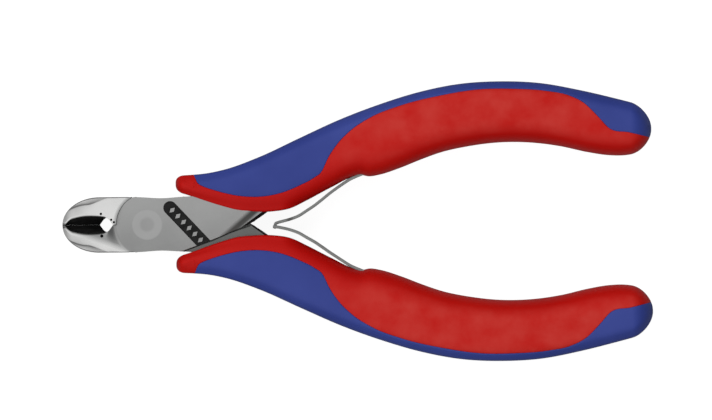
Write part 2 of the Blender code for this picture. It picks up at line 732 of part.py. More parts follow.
def main():
    clear_scene()
    parts = new_collection("flush_cutter")
    cutters = new_collection("cutters")
    steel = new_material("ground_steel", (0.42, 0.43, 0.42), 0.38, 1.0)
    polished = new_material("polished_steel", (0.62, 0.62, 0.61), 0.2, 1.0)
    spring = new_material("spring_steel", (0.7, 0.7, 0.68), 0.22, 1.0)
    red = new_material("red_moulding", (0.62, 0.03, 0.02), 0.45, 0.0)
    blue = new_material("blue_moulding", (0.05, 0.065, 0.3), 0.5, 0.0)

    tools = head_tools(cutters)
    front = make_half("front_half", 1, parts, tools, steel)
    rear = make_half("rear_half", -1, parts, tools, steel)
    for half in (front, rear):
        move_origin(half, world(0, 0, 0))
    rivet = turned_solid("pivot_rivet", rivet_profile(0.0, True), parts)
    rivet.data.materials.append(polished)

    for prefix, side in (("upper", 1), ("lower", -1)):
        make_grip(prefix, side, parts, cutters, red, blue)
        make_leaf(prefix, side, parts, cutters, spring)
    for item in parts.objects:
        shade(item)


main()
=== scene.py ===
"""Looks of the flush cutter: moulded two-colour grips, ground and polished steel, leaf springs.

Outlines are in millimetres from the rivet's centre, -X towards the jaws, Z from the lap
joint's middle plane; `world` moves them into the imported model's frame.
"""
import json
import math

import bmesh
import bpy
import numpy as np
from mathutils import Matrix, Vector

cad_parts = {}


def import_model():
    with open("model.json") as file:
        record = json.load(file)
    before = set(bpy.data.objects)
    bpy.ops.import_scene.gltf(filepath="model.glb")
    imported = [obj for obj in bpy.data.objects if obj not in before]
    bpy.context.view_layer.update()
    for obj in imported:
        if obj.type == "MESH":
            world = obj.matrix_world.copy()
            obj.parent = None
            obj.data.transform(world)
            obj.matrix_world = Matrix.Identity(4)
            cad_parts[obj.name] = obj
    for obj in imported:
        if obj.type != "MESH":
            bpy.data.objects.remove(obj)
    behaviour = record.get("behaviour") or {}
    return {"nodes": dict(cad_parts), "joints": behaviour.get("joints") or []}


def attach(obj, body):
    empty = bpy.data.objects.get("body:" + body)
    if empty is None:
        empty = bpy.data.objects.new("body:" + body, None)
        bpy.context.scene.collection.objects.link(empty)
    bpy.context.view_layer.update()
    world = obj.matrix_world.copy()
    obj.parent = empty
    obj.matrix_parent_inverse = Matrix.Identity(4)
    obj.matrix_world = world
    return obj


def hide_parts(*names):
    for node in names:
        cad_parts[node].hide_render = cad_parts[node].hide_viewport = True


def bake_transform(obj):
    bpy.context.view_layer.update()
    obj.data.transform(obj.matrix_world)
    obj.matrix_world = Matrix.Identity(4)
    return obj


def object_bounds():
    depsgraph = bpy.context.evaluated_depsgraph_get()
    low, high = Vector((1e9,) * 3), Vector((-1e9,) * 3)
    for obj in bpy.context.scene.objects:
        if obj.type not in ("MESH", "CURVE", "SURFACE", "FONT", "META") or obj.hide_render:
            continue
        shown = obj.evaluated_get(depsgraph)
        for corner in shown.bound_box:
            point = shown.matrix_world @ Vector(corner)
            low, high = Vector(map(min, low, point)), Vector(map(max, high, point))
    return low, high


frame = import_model()
cad_low, cad_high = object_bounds()

MM = 0.001
PIVOT = Vector(next(j for j in frame["joints"] if j["name"] == "pivot")["pos_m"])
LENGTH = (cad_high.x - cad_low.x) / MM
JAW_REACH = (PIVOT.x - cad_low.x) / MM
TAIL_X = LENGTH - JAW_REACH
FULL_TURN = 2 * math.pi

# Camera: the place it looks straight down on, from the frame's origin, the width that it
# sees, how far it is turned, and its height over the middle plane in metres
VIEW_CENTRE = (-0.23, 2.44)
VIEW_WIDTH = 138.85
VIEW_TURN = math.radians(-0.55)
VIEW_DISTANCE = 2.0
SENSOR_WIDTH = 36.0
FAR_CLIP = 10

# Grips: rounding of the ends, then the section, which is half of one superellipse on the
# outer side and half of another on the inner side
NOSE_X = 5.56
NOSE_ROUND = 1.9
NOSE_POWER = 2.5
TAIL_ROUND = 4.2
OUTER_POWER = 5.0
INNER_POWER = 2.5
LEAST_HALF = 0.05
# The outer side's flank rises from the foot to the top, both shares of the half thickness,
# over this width
FLANK_WIDTH = 1.15
FLANK_TOP = 0.9
FLANK_FOOT = 0.7
FLANK_BLEND = -20
# Near the nose the inner side is squarer, like a collar
COLLAR_HEIGHT = 3.75
COLLAR_POWER = 14
COLLAR_BLEND = 8
COLLAR_END = 34.0
COLLAR_FADE = 8
# The outer shell lies in the core, with a fine groove where the two meet
SHELL_START = 9.1
SHELL_DEPTH = 1.5
SHELL_RISE = 0.5
CORE_CLEARANCE = 0.05
SEAM_DEPTH = 0.13
SMALLEST_SEAM_ANGLE = 0.12
SEAM_SHARES = (-1.0, 0.995)
# Distances from the seam, and the share of its depth there, beginning at the seam itself
SEAM_STEPS = (0.06, 0.14, 0.26)
SEAM_SINK = (1.0, 0.42, 0.12, 0.0)
# Where the two grooves beside a narrow strip would take more than 1 / 2.2 of it each, they
# are squeezed to 1 / 2.4 of it
SEAM_CROWDED = 2.2
SEAM_SQUEEZED = 2.4
# The seam's groove fades out between these section angles, where the shell closes
SEAM_CLOSING = (2.7, 3.05)
CORE_END_ANGLE = 3.12
WIDEST_TURN = 0.6
TURN_HALVINGS = 14
# Where the sections are taken, and how many points lie along the parts of each
NOSE_TURNS = np.linspace(4, 90, 16)
TAIL_TURNS = np.linspace(90, 3, 36)
SHELL_START_STEPS = (0, 0.05, 0.1, 0.17, 0.25, 0.34, 0.44, 0.55, 0.68, 0.82, 1.0)
GRIP_FIRST_STEP = 0.5
GRIP_MIDDLE = (1.25, 0.2)
GRIP_STEP = 0.42
SHELL_POINTS = 44
CORE_POINTS = 76
UNDER_POINTS = 18

# Grip outlines in plan, each as (x, distance from the centre line)
GRIP_OUTER = [
    (5.0, 9.5), (7.5, 9.55), (9.3, 9.65), (11.2, 9.82), (15.0, 10.55), (22.0, 13.0),
    (29.85, 16.6), (37.65, 20.1), (45.45, 23.0), (53.3, 25.35), (61.0, 26.82), (68.9, 27.25),
    (76.7, 26.85), (84.5, 25.4), (92.3, 23.5), (99.0, 21.7),
]
GRIP_INNER = [
    (5.0, 6.35), (7.3, 5.86), (9.3, 5.2), (11.2, 4.52), (13.2, 3.83), (15.1, 3.25),
    (17.4, 2.62), (20.5, 2.33), (24.5, 2.32), (27.9, 2.9), (31.0, 4.35), (35.7, 6.8),
    (40.4, 9.0), (41.55, 9.25), (43.3, 8.97), (45.45, 9.3), (49.35, 10.55), (53.3, 12.1),
    (57.2, 13.47), (63.0, 14.7), (68.9, 15.35), (74.7, 15.27), (80.6, 14.5), (86.0, 13.28),
    (90.0, 12.66), (93.0, 12.6), (95.5, 12.95), (99.0, 13.7),
]
SHELL_EDGE = [
    (9.0, 9.66), (9.25, 9.4), (9.6, 8.6), (9.95, 7.98), (10.4, 7.6), (11.2, 7.22),
    (12.7, 6.68), (15.0, 5.98), (18.5, 5.28), (22.0, 5.15), (26.0, 5.8), (29.85, 7.3),
    (32.6, 8.75), (34.2, 10.1), (35.2, 12.3), (37.0, 15.1), (39.6, 17.8), (43.5, 20.4),
    (49.35, 22.7), (57.2, 24.6), (65.0, 25.75), (71.0, 25.8), (78.0, 25.3), (82.3, 24.4),
    (85.2, 22.9), (88.0, 20.1), (89.9, 18.0), (94.0, 17.0), (98.1, 16.0), (99.0, 15.8),
]
# Half thickness of a grip along X
GRIP_THICKNESS = [
    (5.0, 4.5), (12.0, 4.6), (20.0, 4.9), (30.0, 5.5), (45.0, 6.35), (60.0, 6.7),
    (72.0, 6.75), (90.0, 6.5), (99.0, 6.2),
]

# Head: an ellipse in front of HEAD_ELLIPSE_X, behind it straight with a slight waist
HEAD_HALF_WIDTH = 5.4
HEAD_ELLIPSE_X = -9.3
WAIST_DEPTH = 0.3
WAIST_X = 2.8
WAIST_LENGTH = 3.4
LAP_HALF = 3.45
LAP_GAP = 0.04
LAP_CLEARANCE = 0.03
LAP_RADIUS = 6.0
FRONT_JAW_END = 5.6
SHANK_LOW = 2.6
SHANK_STEP = 0.3
EDGE_ROUND = 0.05
EDGE_SEGMENTS = 3
# Edges whose ends differ less than this in height, in metres, are level
LEVEL = 1e-9
# Numbers of the two steels in a forging
GROUND = 0
DARK = 1
# How far cutters reach: right through a solid, and above the plate
CUT_PAST = 8
SEAT_ROOF = 2
BAR_ROOF = 1
# The disc that the lower jaw is cut with, so that the rear plate's lap end has room
DISC_EXTRA = 0.01
DISC_ARC = (0, 359, 180)

# Jaws: gap at the cutting edge, flush face, domed top with a facet on the outer flank
JAW_GAP = 0.0015
JAW_BOTTOM_LIMIT = -3.42
FLUSH_TIP_Z = -0.8
FLUSH_SLOPE = math.radians(14)
CROWN_FALL = 0.048
SLOPE_STEP = 0.05
FACET_TILT = 0.615
LEAST_TILT_SQUARED = 0.1
FACET_CORNER_SQUARED = 0.0025
FACET_DIP = 0.075
FACET_DIP_WIDTH = 0.2
FACET_DIP_FADE = (-12.0, -8.8)
FACET_DIP_LOSS = 0.8
# The rim of the valley between the jaws is bevelled, over a wider strip on the lower jaw
RIM_SLOPE = 1.1
RIM_FADE = (-8.6, -7.6)
UPPER_RIM_WIDTH = 0.5
LOWER_RIM_WIDTH = 0.8
RIM_SET_BACK = 0.03
# The lower jaw's top joins the plate between these distances from the rivet's axis
FILLET = (5.9, 9.2)
FILLET_TOP = LAP_HALF - 0.004
RELIEF_HOLE_X = -8.0
RELIEF_HOLE_REACH = 1.36
RELIEF_HOLE_HALF = 1.34
RELIEF_HOLE_POINT = 1.35
# The valley's walls are painted black as shade up to this far past the relief hole
DARK_PAST_HOLE = 0.05
# A jaw's section: points and shape of the valley's wall, points over the top, roundings
WALL_POINTS = 12
WALL_BELLY = (0.18, 0.82, 0.62)
TOP_POINTS = 42
TOP_SPREAD = 0.9
CHEEK_INSET = 0.03
CHEEK_INSET_X = -3.6
LEAST_JAW = 0.2
LEAST_TOP = 0.15
LEAST_WALL = 0.3
EDGE_LAND = 0.12
RIM_ROUND = 0.06
RIM_ROUND_MIDDLE = (0.02, 0.015)
RIM_ROUND_AT_LAP = 0.25
SIDE_ROUND = 0.14
SIDE_ROUND_FALL = 0.16
SIDE_ROUND_DROP = 0.05
SIDE_ROUND_TURNS = (25, 50, 75, 90)
FOOT_ROUND = 0.15
FOOT_BREAK = 0.05
EDGE_BREAK = 0.03
THIRDS = (0.33, 0.66)
# Where the sections are taken: points in front of the relief hole, over it, and in the joint
TIP_TURNS = np.linspace(1.5, 90, 46)
HOLE_TURNS = np.linspace(0, 180, 33)
HOLE_MARGIN = 0.001
TIP_MARGIN = 0.1
BRIDGE_POINTS = 6
LAP_FIRST_TURN = 0.5
LAP_POINTS = 30
JAW_END_HALF = 5.2

# Half width of a jaw to the facet's edge and to the valley's rim, and height of its crown,
# along X
FACET_LINE = [
    (-16.6, 2.0), (-15.2, 2.95), (-14.26, 3.35), (-13.4, 3.65), (-12.43, 3.85), (-11.32, 3.95),
    (-10.2, 4.28), (-9.04, 4.72), (-7.98, 5.15), (-6.8, 5.7), (-2.0, 7.5),
]
VALLEY_RIM = [
    (-16.6, 0.03), (-16.2, 0.05), (-15.9, 0.18), (-15.6, 0.5), (-15.1, 0.95), (-14.1, 1.3),
    (-13.1, 1.52), (-12.2, 1.64), (-11.2, 1.68), (-10.2, 1.66), (-9.4, 1.62), (-8.6, 1.52),
    (-7.8, 1.4),
]
CROWN_HEIGHT = [
    (-16.6, 0.55), (-15.5, 1.25), (-14.0, 2.05), (-12.0, 3.0), (-10.0, 3.75), (-8.5, 4.1),
    (-7.0, 4.25), (-5.5, 4.28), (-2.0, 4.2),
]
# Small pits by the relief hole: x, y, radius, depth
JAW_PITS = [
    (-8.98, 2.16, 0.22, 0.8), (-8.85, -2.15, 0.28, 0.9), (-6.98, 1.0, 0.2, 0.7),
    (-6.45, 0.52, 0.2, 0.7),
]
# A pit's four rings from its point up: radius, then the second one's share of the depth and
# how far the last two lie above the surface
PIT_RADIUS_SHARES = (0.1, 0.55, 1.15, 1.6)
PIT_KNEE = 0.85
PIT_MOUTH_LEVELS = (0.02, 0.5)

# Plates and handles in plan, for the half that has the upper handle
SHANK_OUTER = [
    (25.95, 4.8), (23.0, 4.45), (20.0, 4.35), (16.0, 5.0), (12.0, 5.8), (8.0, 5.35),
]
CROTCH = (20.15, 0.02)
CROTCH_END = (25.85, 4.15)
CROTCH_EDGE = [(24.3, 2.85), (22.2, 1.35)]
BACK_EDGE = [(7.0, -5.15), (12.6, -3.1), (16.4, -1.5), CROTCH]
# Arcs as first and last angle in degrees and steps, sides as first and last x and points
LAP_ARC = (180, 117.5, 36)
BACK_ARC = (247, 181, 30)
BACK_INSET = 0.12
HEAD_SIDE_X = (-2.4, 8.0, 28)
BACK_SIDE_X = (6.0, -2.0, 22)
# The handle below the plate stays clear of the other half
SHANK_CLEARANCE = 0.25
SHANK_CROTCH = [(20.7, 0.32), (22.2, 1.46), (24.3, 2.97), (25.7, 3.95)]
SHANK_INSET = 0.05
SHANK_BACK = (8.3, 5.2)
# Soft step across the upper shank
RAMP_PLACE = (18.3, 0.2)
RAMP_ANGLE = math.radians(41)
RAMP_DROP = 0.6
RAMP_WIDTH = 2.0
RAMP_POINTS = 17
RAMP_LIFT = 0.002
RAMP_FAR = 12.0
RAMP_ROOF = 6.0
RAMP_REACH = 14.0
# Bevels beside the crotch, painted black as shade
FRONT_CHAMFER = 0.5
REAR_CHAMFER = 0.26
CHAMFER_FALL = 1.6
CHAMFER_LIFT = 0.001
CHAMFER_PAST = 1.0
CHAMFER_ROOF = 2.0
CHAMFER_REACH = 9.0

# Recessed bar in the top plate, with raised diamonds at these distances along it
BAR_START = (4.5, 3.2)
BAR_ANGLE = math.radians(-47)
BAR_LENGTH = 12.0
BAR_HALF_WIDTH = 1.32
BAR_DEPTH = 0.25
DIAMOND_STEPS = (0.6, 2.2, 3.8, 5.4, 7.0, 8.6)
DIAMOND_HALF_WIDTH = 0.7
DIAMOND_HALF_LENGTH = DIAMOND_HALF_WIDTH * 0.62
DIAMOND_ROOT = 0.1
DIAMOND_SINK = 0.03

# Rivet, and its face as (radius, depth below the plate)
RIVET_HEAD_RADIUS = 3.0
RIVET_SHAFT_RADIUS = 2.3
RIVET_HEAD_DEPTH = 1.2
RIVET_SIDES = 120
SEAT_CLEARANCE = 0.003
BORE_CLEARANCE = 0.1
RIVET_FACE = [(0.3, 0.006), (1.2, 0.006), (1.45, 0.0), (2.2, 0.0), (2.9, 0.0), (3.0, 0.0)]
RIVET_SHOULDER = (0.02, 0.3)

# Leaf springs: ribbon, root inside the grip, tips
LEAF_THICKNESS = 0.58
LEAF_EDGE = 0.04
LEAF_WIDTH = 4.0
LEAF_DROOP = -0.26
LEAF_DROOP_FADE = (29, 38)
LEAF_HINGE = (41.8, 9.4)
LEAF_ROOT_STEPS = (0.0, 2.5, 6.0)
LEAF_ROOT_ANGLE = math.radians(22)
LEAF_STEPS = 9
LEAF_END_THINNING = 0.55
# Corners of the ribbon's section: side in plan, side in height, where the rounding starts
LEAF_CORNERS = ((1, -1, -90), (1, 1, 0), (-1, 1, 90), (-1, -1, 180))
LEAF_CORNER_TURNS = (10, 45, 80)
TONGUE_WIDTH = 1.5
TONGUE_END_X = 26.6
TONGUE_WIDENING = 2.4
WINDOW_WIDTH = 2.4
WINDOW_X = (24.68, 27.2)
WINDOW_CORNER = 0.35
WINDOW_REACH = 3.0
LEAF_LINE = [
    (27.9, 1.06), (29.5, 1.67), (31.0, 2.58), (32.6, 3.57), (34.1, 4.66), (35.7, 5.87),
    (38.0, 7.44), (39.7, 8.5),
]
HOOK_TIP = [(24.88, -0.8), (24.88, -0.25), (25.02, 0.22), (25.6, 0.46), (26.5, 0.69)]
WINDOW_TIP = [(24.45, 0.38), (25.2, 0.44), (26.5, 0.7)]

# Colours, as the two ends of a material's slow drift
DRIFT_STOPS = (0.3, 0.7)
RED = ((0.46, 0.003, 0.002), (0.51, 0.007, 0.004))
# Painted sheen of the light from above, on the red's highest parts
RED_PAINTED_SHEEN = (0.55, 0.032, 0.024)
BLUE = ((0.024, 0.042, 0.235), (0.036, 0.058, 0.285))
PLATE = ((0.295, 0.297, 0.295), (0.385, 0.388, 0.385))
POLISHED = ((0.58, 0.58, 0.575), (0.63, 0.63, 0.625))
GROUND_SIDE = ((0.24, 0.243, 0.24), (0.3, 0.303, 0.3))
# Painted shade on faces lower than the plate and on the ramp's slope
PAINTED_SHADE = ((0.13, 0.134, 0.13), (0.17, 0.175, 0.17))
RIVET = ((0.33, 0.331, 0.33), (0.36, 0.361, 0.36))
RIVET_RING = ((0.38, 0.382, 0.38), (0.405, 0.407, 0.405))
SPRING = ((0.2, 0.205, 0.2), (0.27, 0.275, 0.27))
# Black of the marking bar's oxide, and painted shade in the valley, pits, seats, bores and crotch
# bevels
OXIDE_AND_PAINTED_SHADE = ((0.008, 0.008, 0.008), (0.02, 0.02, 0.02))
# Places where one finish, a painted sheen, painted light or painted shade fades into another, as
# (none of it, all of it)
# Painted sheen on the red: from this height up the grips take the paler colour
SHEEN_HEIGHT = (5.3, 6.5)
# Painted light across the head: paler towards +Y, the side the light comes from
HEAD_PAINTED_LIGHT_Y = (-6.0, 6.0)
# Painted shade: faces below this height take the dark colour
PAINTED_SHADE_HEIGHT = (2.8, 2.66)
POLISHED_RADIUS = (6.1, 6.7)
GROUND_SIDE_DISTANCE = (-0.1, 1.1)
LOWER_JAW_Y = (-0.1, -0.3)
# Painted shade on the ramp's slope, between its top and its foot, behind RAMP_BEHIND_X
RAMP_TOP_HEIGHT = (3.42, 3.25)
RAMP_FOOT_HEIGHT = (2.87, 2.97)
RAMP_BEHIND_X = 10.0
RIVET_RING_RADIUS = (1.1, 1.6)
RIVET_RING_EDGE = (3.05, 2.75)
# The lower jaw's ground inner side begins beside a line across its top
GROUND_SIDE_NORMAL = (0.335, 0.943, 0.0)
GROUND_SIDE_OFFSET = 6.45
# Plates take this share of their shade from the drift and the rest from the place across, which
# is painted light: paler towards +Y
PLATE_DRIFT = 0.45
PLATE_STOPS = (0.25, 0.8)
STEEL_ROUGHNESS = 0.42

# Light: lamps and floor in metres, the sky's brightness by height and by side
LIGHT_SIZE = (0.5, 0.3)
SKY_BY_HEIGHT = [(0.0, 0.12), (0.12, 0.14), (0.28, 0.25), (0.5, 0.95), (0.62, 1.1), (1.0, 1.1)]
SKY_BY_SIDE = [(0.52, 1.0), (0.74, 0.28)]
FLOOR_HALF = 2
FLOOR_Z = -0.0002


def world(x, y, z):
    return Vector((PIVOT.x + x * MM, PIVOT.y + y * MM, PIVOT.z + z * MM))


def curve_through(table):
    """A smooth curve through (x, value) pairs, as a function of an array of x."""
    xs = np.array([p[0] for p in table], float)
    values = np.array([p[1] for p in table], float)
    slopes = np.gradient(values, xs)

    def at(x):
        x = np.asarray(x, float)
        i = np.clip(np.searchsorted(xs, x) - 1, 0, len(xs) - 2)
        step = xs[i + 1] - xs[i]
        t = (x - xs[i]) / step
        low = values[i] * (1 + 2 * t) * (1 - t) ** 2 + slopes[i] * step * t * (1 - t) ** 2
        high = values[i + 1] * t * t * (3 - 2 * t) + slopes[i + 1] * step * t * t * (t - 1)
        return low + high

    return at


def smoothstep(low, high, x):
    t = min(1.0, max(0.0, (x - low) / (high - low)))
    return t * t * (3 - 2 * t)


outer_edge = curve_through(GRIP_OUTER)
inner_edge = curve_through(GRIP_INNER)
thickness_at = curve_through(GRIP_THICKNESS)
shell_edge = curve_through(SHELL_EDGE)
facet_line = curve_through(FACET_LINE)
valley_rim = curve_through(VALLEY_RIM)
crown_height = curve_through(CROWN_HEIGHT)


def add_mesh(name, points, faces):
    mesh = bpy.data.meshes.new(name)
    mesh.from_pydata([tuple(p) for p in points], [], faces)
    mesh.update()
    item = bpy.data.objects.new(name, mesh)
    bpy.context.scene.collection.objects.link(item)
    return item


def smooth(item, angle):
    """Smooth shading, apart from edges sharper than an angle in degrees."""
    item.data.shade_smooth()
    item.data.set_sharp_from_angle(angle=math.radians(angle))


def loft(name, rings):
    """A skin over equal closed rings of world points, its ends closed by a middle point."""
    count = len(rings[0])
    points = [p for ring in rings for p in ring]
    faces = []
    for i in range(len(rings) - 1):
        for k in range(count):
            a = i * count + k
            b = i * count + (k + 1) % count
            faces.append((a, b, b + count, a + count))
    for start, flip in ((0, True), ((len(rings) - 1) * count, False)):
        middle = len(points)
        points.append(sum((Vector(p) for p in points[start:start + count]), Vector()) / count)
        for k in range(count):
            pair = (start + k, start + (k + 1) % count)
            faces.append((*(pair[::-1] if flip else pair), middle))
    item = add_mesh(name, points, faces)
    body = bmesh.new()
    body.from_mesh(item.data)
    bmesh.ops.recalc_face_normals(body, faces=body.faces)
    body.to_mesh(item.data)
    body.free()
    return item


# ------------------------------------------------------------------------------- grips

def end_rounding(x):
    """The share of a grip's full section that is left at x by its rounded ends."""
    near = np.clip((NOSE_X + NOSE_ROUND - x) / NOSE_ROUND, 0, 1)
    far = np.clip((x - TAIL_X + TAIL_ROUND) / TAIL_ROUND, 0, 1)
    return (1 - near ** NOSE_POWER) ** (1 / NOSE_POWER) * np.sqrt(1 - far ** 2)


def grip_stations():
    """Where sections of a grip are taken: close together at the ends and the shell's start."""
    nose = NOSE_X + NOSE_ROUND * (1 - np.cos(np.radians(NOSE_TURNS)))
    first = [NOSE_X + NOSE_ROUND + GRIP_FIRST_STEP]
    start = SHELL_START + np.array(SHELL_START_STEPS)
    before, after = GRIP_MIDDLE
    middle = np.arange(SHELL_START + before, TAIL_X - TAIL_ROUND - after, GRIP_STEP)
    tail = TAIL_X - TAIL_ROUND * (1 - np.cos(np.radians(TAIL_TURNS)))
    return np.concatenate([nose, first, start, middle, tail])


def softly_joined(a, b, power):
    """One height without a corner: nearly the lower for a negative power, else the higher."""
    return (a ** power + b ** power) ** (1 / power)


def section_point(x, angle, inset, side):
    """A point on a grip's section at x; inset moves it inwards."""
    outer = float(outer_edge(x))
    inner = float(inner_edge(x))
    close = float(end_rounding(x))
    across = max(LEAST_HALF, (outer - inner) / 2 * close - inset)
    deep = max(LEAST_HALF, float(thickness_at(x)) * close - inset)
    c = math.cos(angle)
    s = math.sin(angle)
    power = INNER_POWER if c < 0 else OUTER_POWER
    share = abs(c) ** (2 / power)
    rise = abs(s) ** (2 / power) * deep
    if c > 0 and rise > 0:
        climb = (FLANK_TOP - FLANK_FOOT) / FLANK_WIDTH
        flank = (FLANK_FOOT + climb * across * (1 - share)) * deep
        rise = softly_joined(rise, flank, FLANK_BLEND)
        rise /= softly_joined(1, FLANK_FOOT + climb * across, FLANK_BLEND)
    if c < 0 and x < COLLAR_END:
        collar = COLLAR_HEIGHT * close * max(0.0, 1 - share ** COLLAR_POWER) ** (1 / COLLAR_POWER)
        collar *= 1 - smoothstep(COLLAR_END - COLLAR_FADE, COLLAR_END, x)
        rise = softly_joined(rise, max(0.0, collar - inset), COLLAR_BLEND)
    y = math.copysign(share, c) * across
    z = math.copysign(rise, s)
    return world(x, side * ((outer + inner) / 2 + y), z)


def seam_angle(x):
    """The section angle where the outer shell ends, measured from the outer side.

    Near the tip of the tail it reaches a half turn: the shell goes all the way round there.
    """
    outer = float(outer_edge(x))
    inner = float(inner_edge(x))
    across = (outer - inner) / 2 * float(end_rounding(x))
    share = (float(shell_edge(x)) - (outer + inner) / 2) / across
    least, most = SEAM_SHARES
    share = max(least, min(most, share))
    power = INNER_POWER if share < 0 else OUTER_POWER
    angle = math.acos(math.copysign(abs(share) ** (power / 2), share))
    return max(SMALLEST_SEAM_ANGLE, angle)


def turn_for(x, start, distance):
    """How far past the start angle a section has run a given distance in a straight line."""
    here = section_point(x, start, 0, 1)
    low = 0.0
    high = WIDEST_TURN
    for _ in range(TURN_HALVINGS):
        middle = (low + high) / 2
        if (section_point(x, start + middle, 0, 1) - here).length < distance * MM:
            low = middle
        else:
            high = middle
    return high


def seam_profile(x, start, end, count):
    """Angles from start to end with close-set ones at both ends, and how deep each lies."""
    shrink = float(end_rounding(x))
    near = np.array([0.0] + [turn_for(x, start, step * shrink) for step in SEAM_STEPS])
    sink = np.array(SEAM_SINK) * SEAM_DEPTH * (1 - smoothstep(*SEAM_CLOSING, abs(start)))
    if near[-1] * SEAM_CROWDED > end - start:
        near = near * (end - start) / (near[-1] * SEAM_SQUEEZED)
    middle = np.linspace(start + near[-1], end - near[-1], count)[1:-1]
    angles = np.concatenate([start + near, middle, (end - near)[::-1]])
    depths = np.concatenate([sink, np.zeros(len(middle)), sink[::-1]])
    return angles, depths


def grip_piece(name, side, is_shell):
    """The outer shell of a grip, or its core, which is cut back where the shell lies."""
    rings = []
    for x in grip_stations():
        if is_shell and x < SHELL_START:
            continue
        seam = seam_angle(x) if x >= SHELL_START else SMALLEST_SEAM_ANGLE
        if not is_shell and seam > CORE_END_ANGLE:
            continue
        fade = smoothstep(0, SHELL_RISE, x - SHELL_START)
        if x > TAIL_X / 2:
            fade = float(end_rounding(x))
        if is_shell:
            angles, depths = seam_profile(x, -seam, seam, SHELL_POINTS)
            under = np.linspace(seam, -seam, UNDER_POINTS)
            depth = SHELL_DEPTH
        else:
            angles, depths = seam_profile(x, seam, FULL_TURN - seam, CORE_POINTS)
            under = np.linspace(FULL_TURN - seam, FULL_TURN + seam, UNDER_POINTS)
            depth = SHELL_DEPTH + CORE_CLEARANCE
        ring = [section_point(x, a, d * fade, side) for a, d in zip(angles, depths)]
        ring += [section_point(x, a, depth * fade, side) for a in under]
        rings.append(ring)
    item = loft(name, rings)
    smooth(item, angle=50)
    return item


# -------------------------------------------------------------------- head and handles

def head_side(x):
    """Half width of the head at x."""
    if x < HEAD_ELLIPSE_X:
        across = (HEAD_ELLIPSE_X - x) / (JAW_REACH + HEAD_ELLIPSE_X)
        return HEAD_HALF_WIDTH * math.sqrt(max(0.0, 1 - across * across))
    return HEAD_HALF_WIDTH - WAIST_DEPTH * math.exp(-(((x - WAIST_X) / WAIST_LENGTH) ** 2))


def arc(centre, radius, start, end, steps):
    """Points on a circle between two angles in degrees."""
    angles = np.radians(np.linspace(start, end, steps + 1))
    return [(centre[0] + radius * math.cos(a), centre[1] + radius * math.sin(a)) for a in angles]


def circle(centre, radius, points):
    """A full circle, without its first point again at the end."""
    return arc(centre, radius, 0, 360 - 360 / points, points - 1)


def smooth_line(points, steps):
    """Points along a Catmull-Rom curve through the given points."""
    knots = [Vector(p) for p in points]
    knots = [2 * knots[0] - knots[1]] + knots + [2 * knots[-1] - knots[-2]]
    line = []
    for a, b, c, d in zip(knots, knots[1:], knots[2:], knots[3:]):
        for k in range(steps):
            t = k / steps
            linear = (c - a) * t
            square = (2 * a - 5 * b + 4 * c - d) * t * t
            cube = (3 * b - a - 3 * c + d) * t ** 3
            line.append(tuple(b + (linear + square + cube) / 2))
    line.append(tuple(knots[-2]))
    return line


def between(start, end, shares):
    """Points on a straight line at the given shares of its length."""
    x, y = start
    return [(x + (end[0] - x) * t, y + (end[1] - y) * t) for t in shares]


def turned(outline, side):
    """The outline itself, or for side -1 its mirror image in the tool's centre line."""
    return [(x, side * y) for x, y in outline]


def steel_slots(item, finish):
    """Give a solid the two steels of a forging, all its faces in one of them."""
    for material in (ground, dark):
        item.data.materials.append(material)
    for face in item.data.polygons:
        face.material_index = finish
    return item


def slab(name, outline, low, high, edge=0.0, finish=GROUND):
    """An outline in plan extruded between two heights, with rounded edges."""
    count = len(outline)
    body = bmesh.new()
    floor = [body.verts.new(world(x, y, low)) for x, y in outline]
    roof = [body.verts.new(world(x, y, high)) for x, y in outline]
    body.faces.new(floor)
    body.faces.new(roof)
    for k in range(count):
        after = (k + 1) % count
        body.faces.new((floor[k], floor[after], roof[after], roof[k]))
    bmesh.ops.recalc_face_normals(body, faces=body.faces)
    if edge:
        rims = [e for e in body.edges if abs(e.verts[0].co.z - e.verts[1].co.z) < LEVEL]
        bmesh.ops.bevel(
            body, geom=rims, offset=edge * MM, segments=EDGE_SEGMENTS, profile=0.5,
            affect="EDGES", clamp_overlap=True,
        )
    mesh = bpy.data.meshes.new(name)
    body.to_mesh(mesh)
    body.free()
    item = bpy.data.objects.new(name, mesh)
    bpy.context.scene.collection.objects.link(item)
    return steel_slots(item, finish)


def combine(item, other, operation):
    """Apply a Boolean with another object, which is used up."""
    step = item.modifiers.new("step", "BOOLEAN")
    step.operation = operation
    step.solver = "EXACT"
    step.object = other
    bpy.context.view_layer.update()
    graph = bpy.context.evaluated_depsgraph_get()
    mesh = bpy.data.meshes.new_from_object(item.evaluated_get(graph))
    item.modifiers.clear()
    item.data = mesh
    bpy.data.objects.remove(other, do_unlink=True)


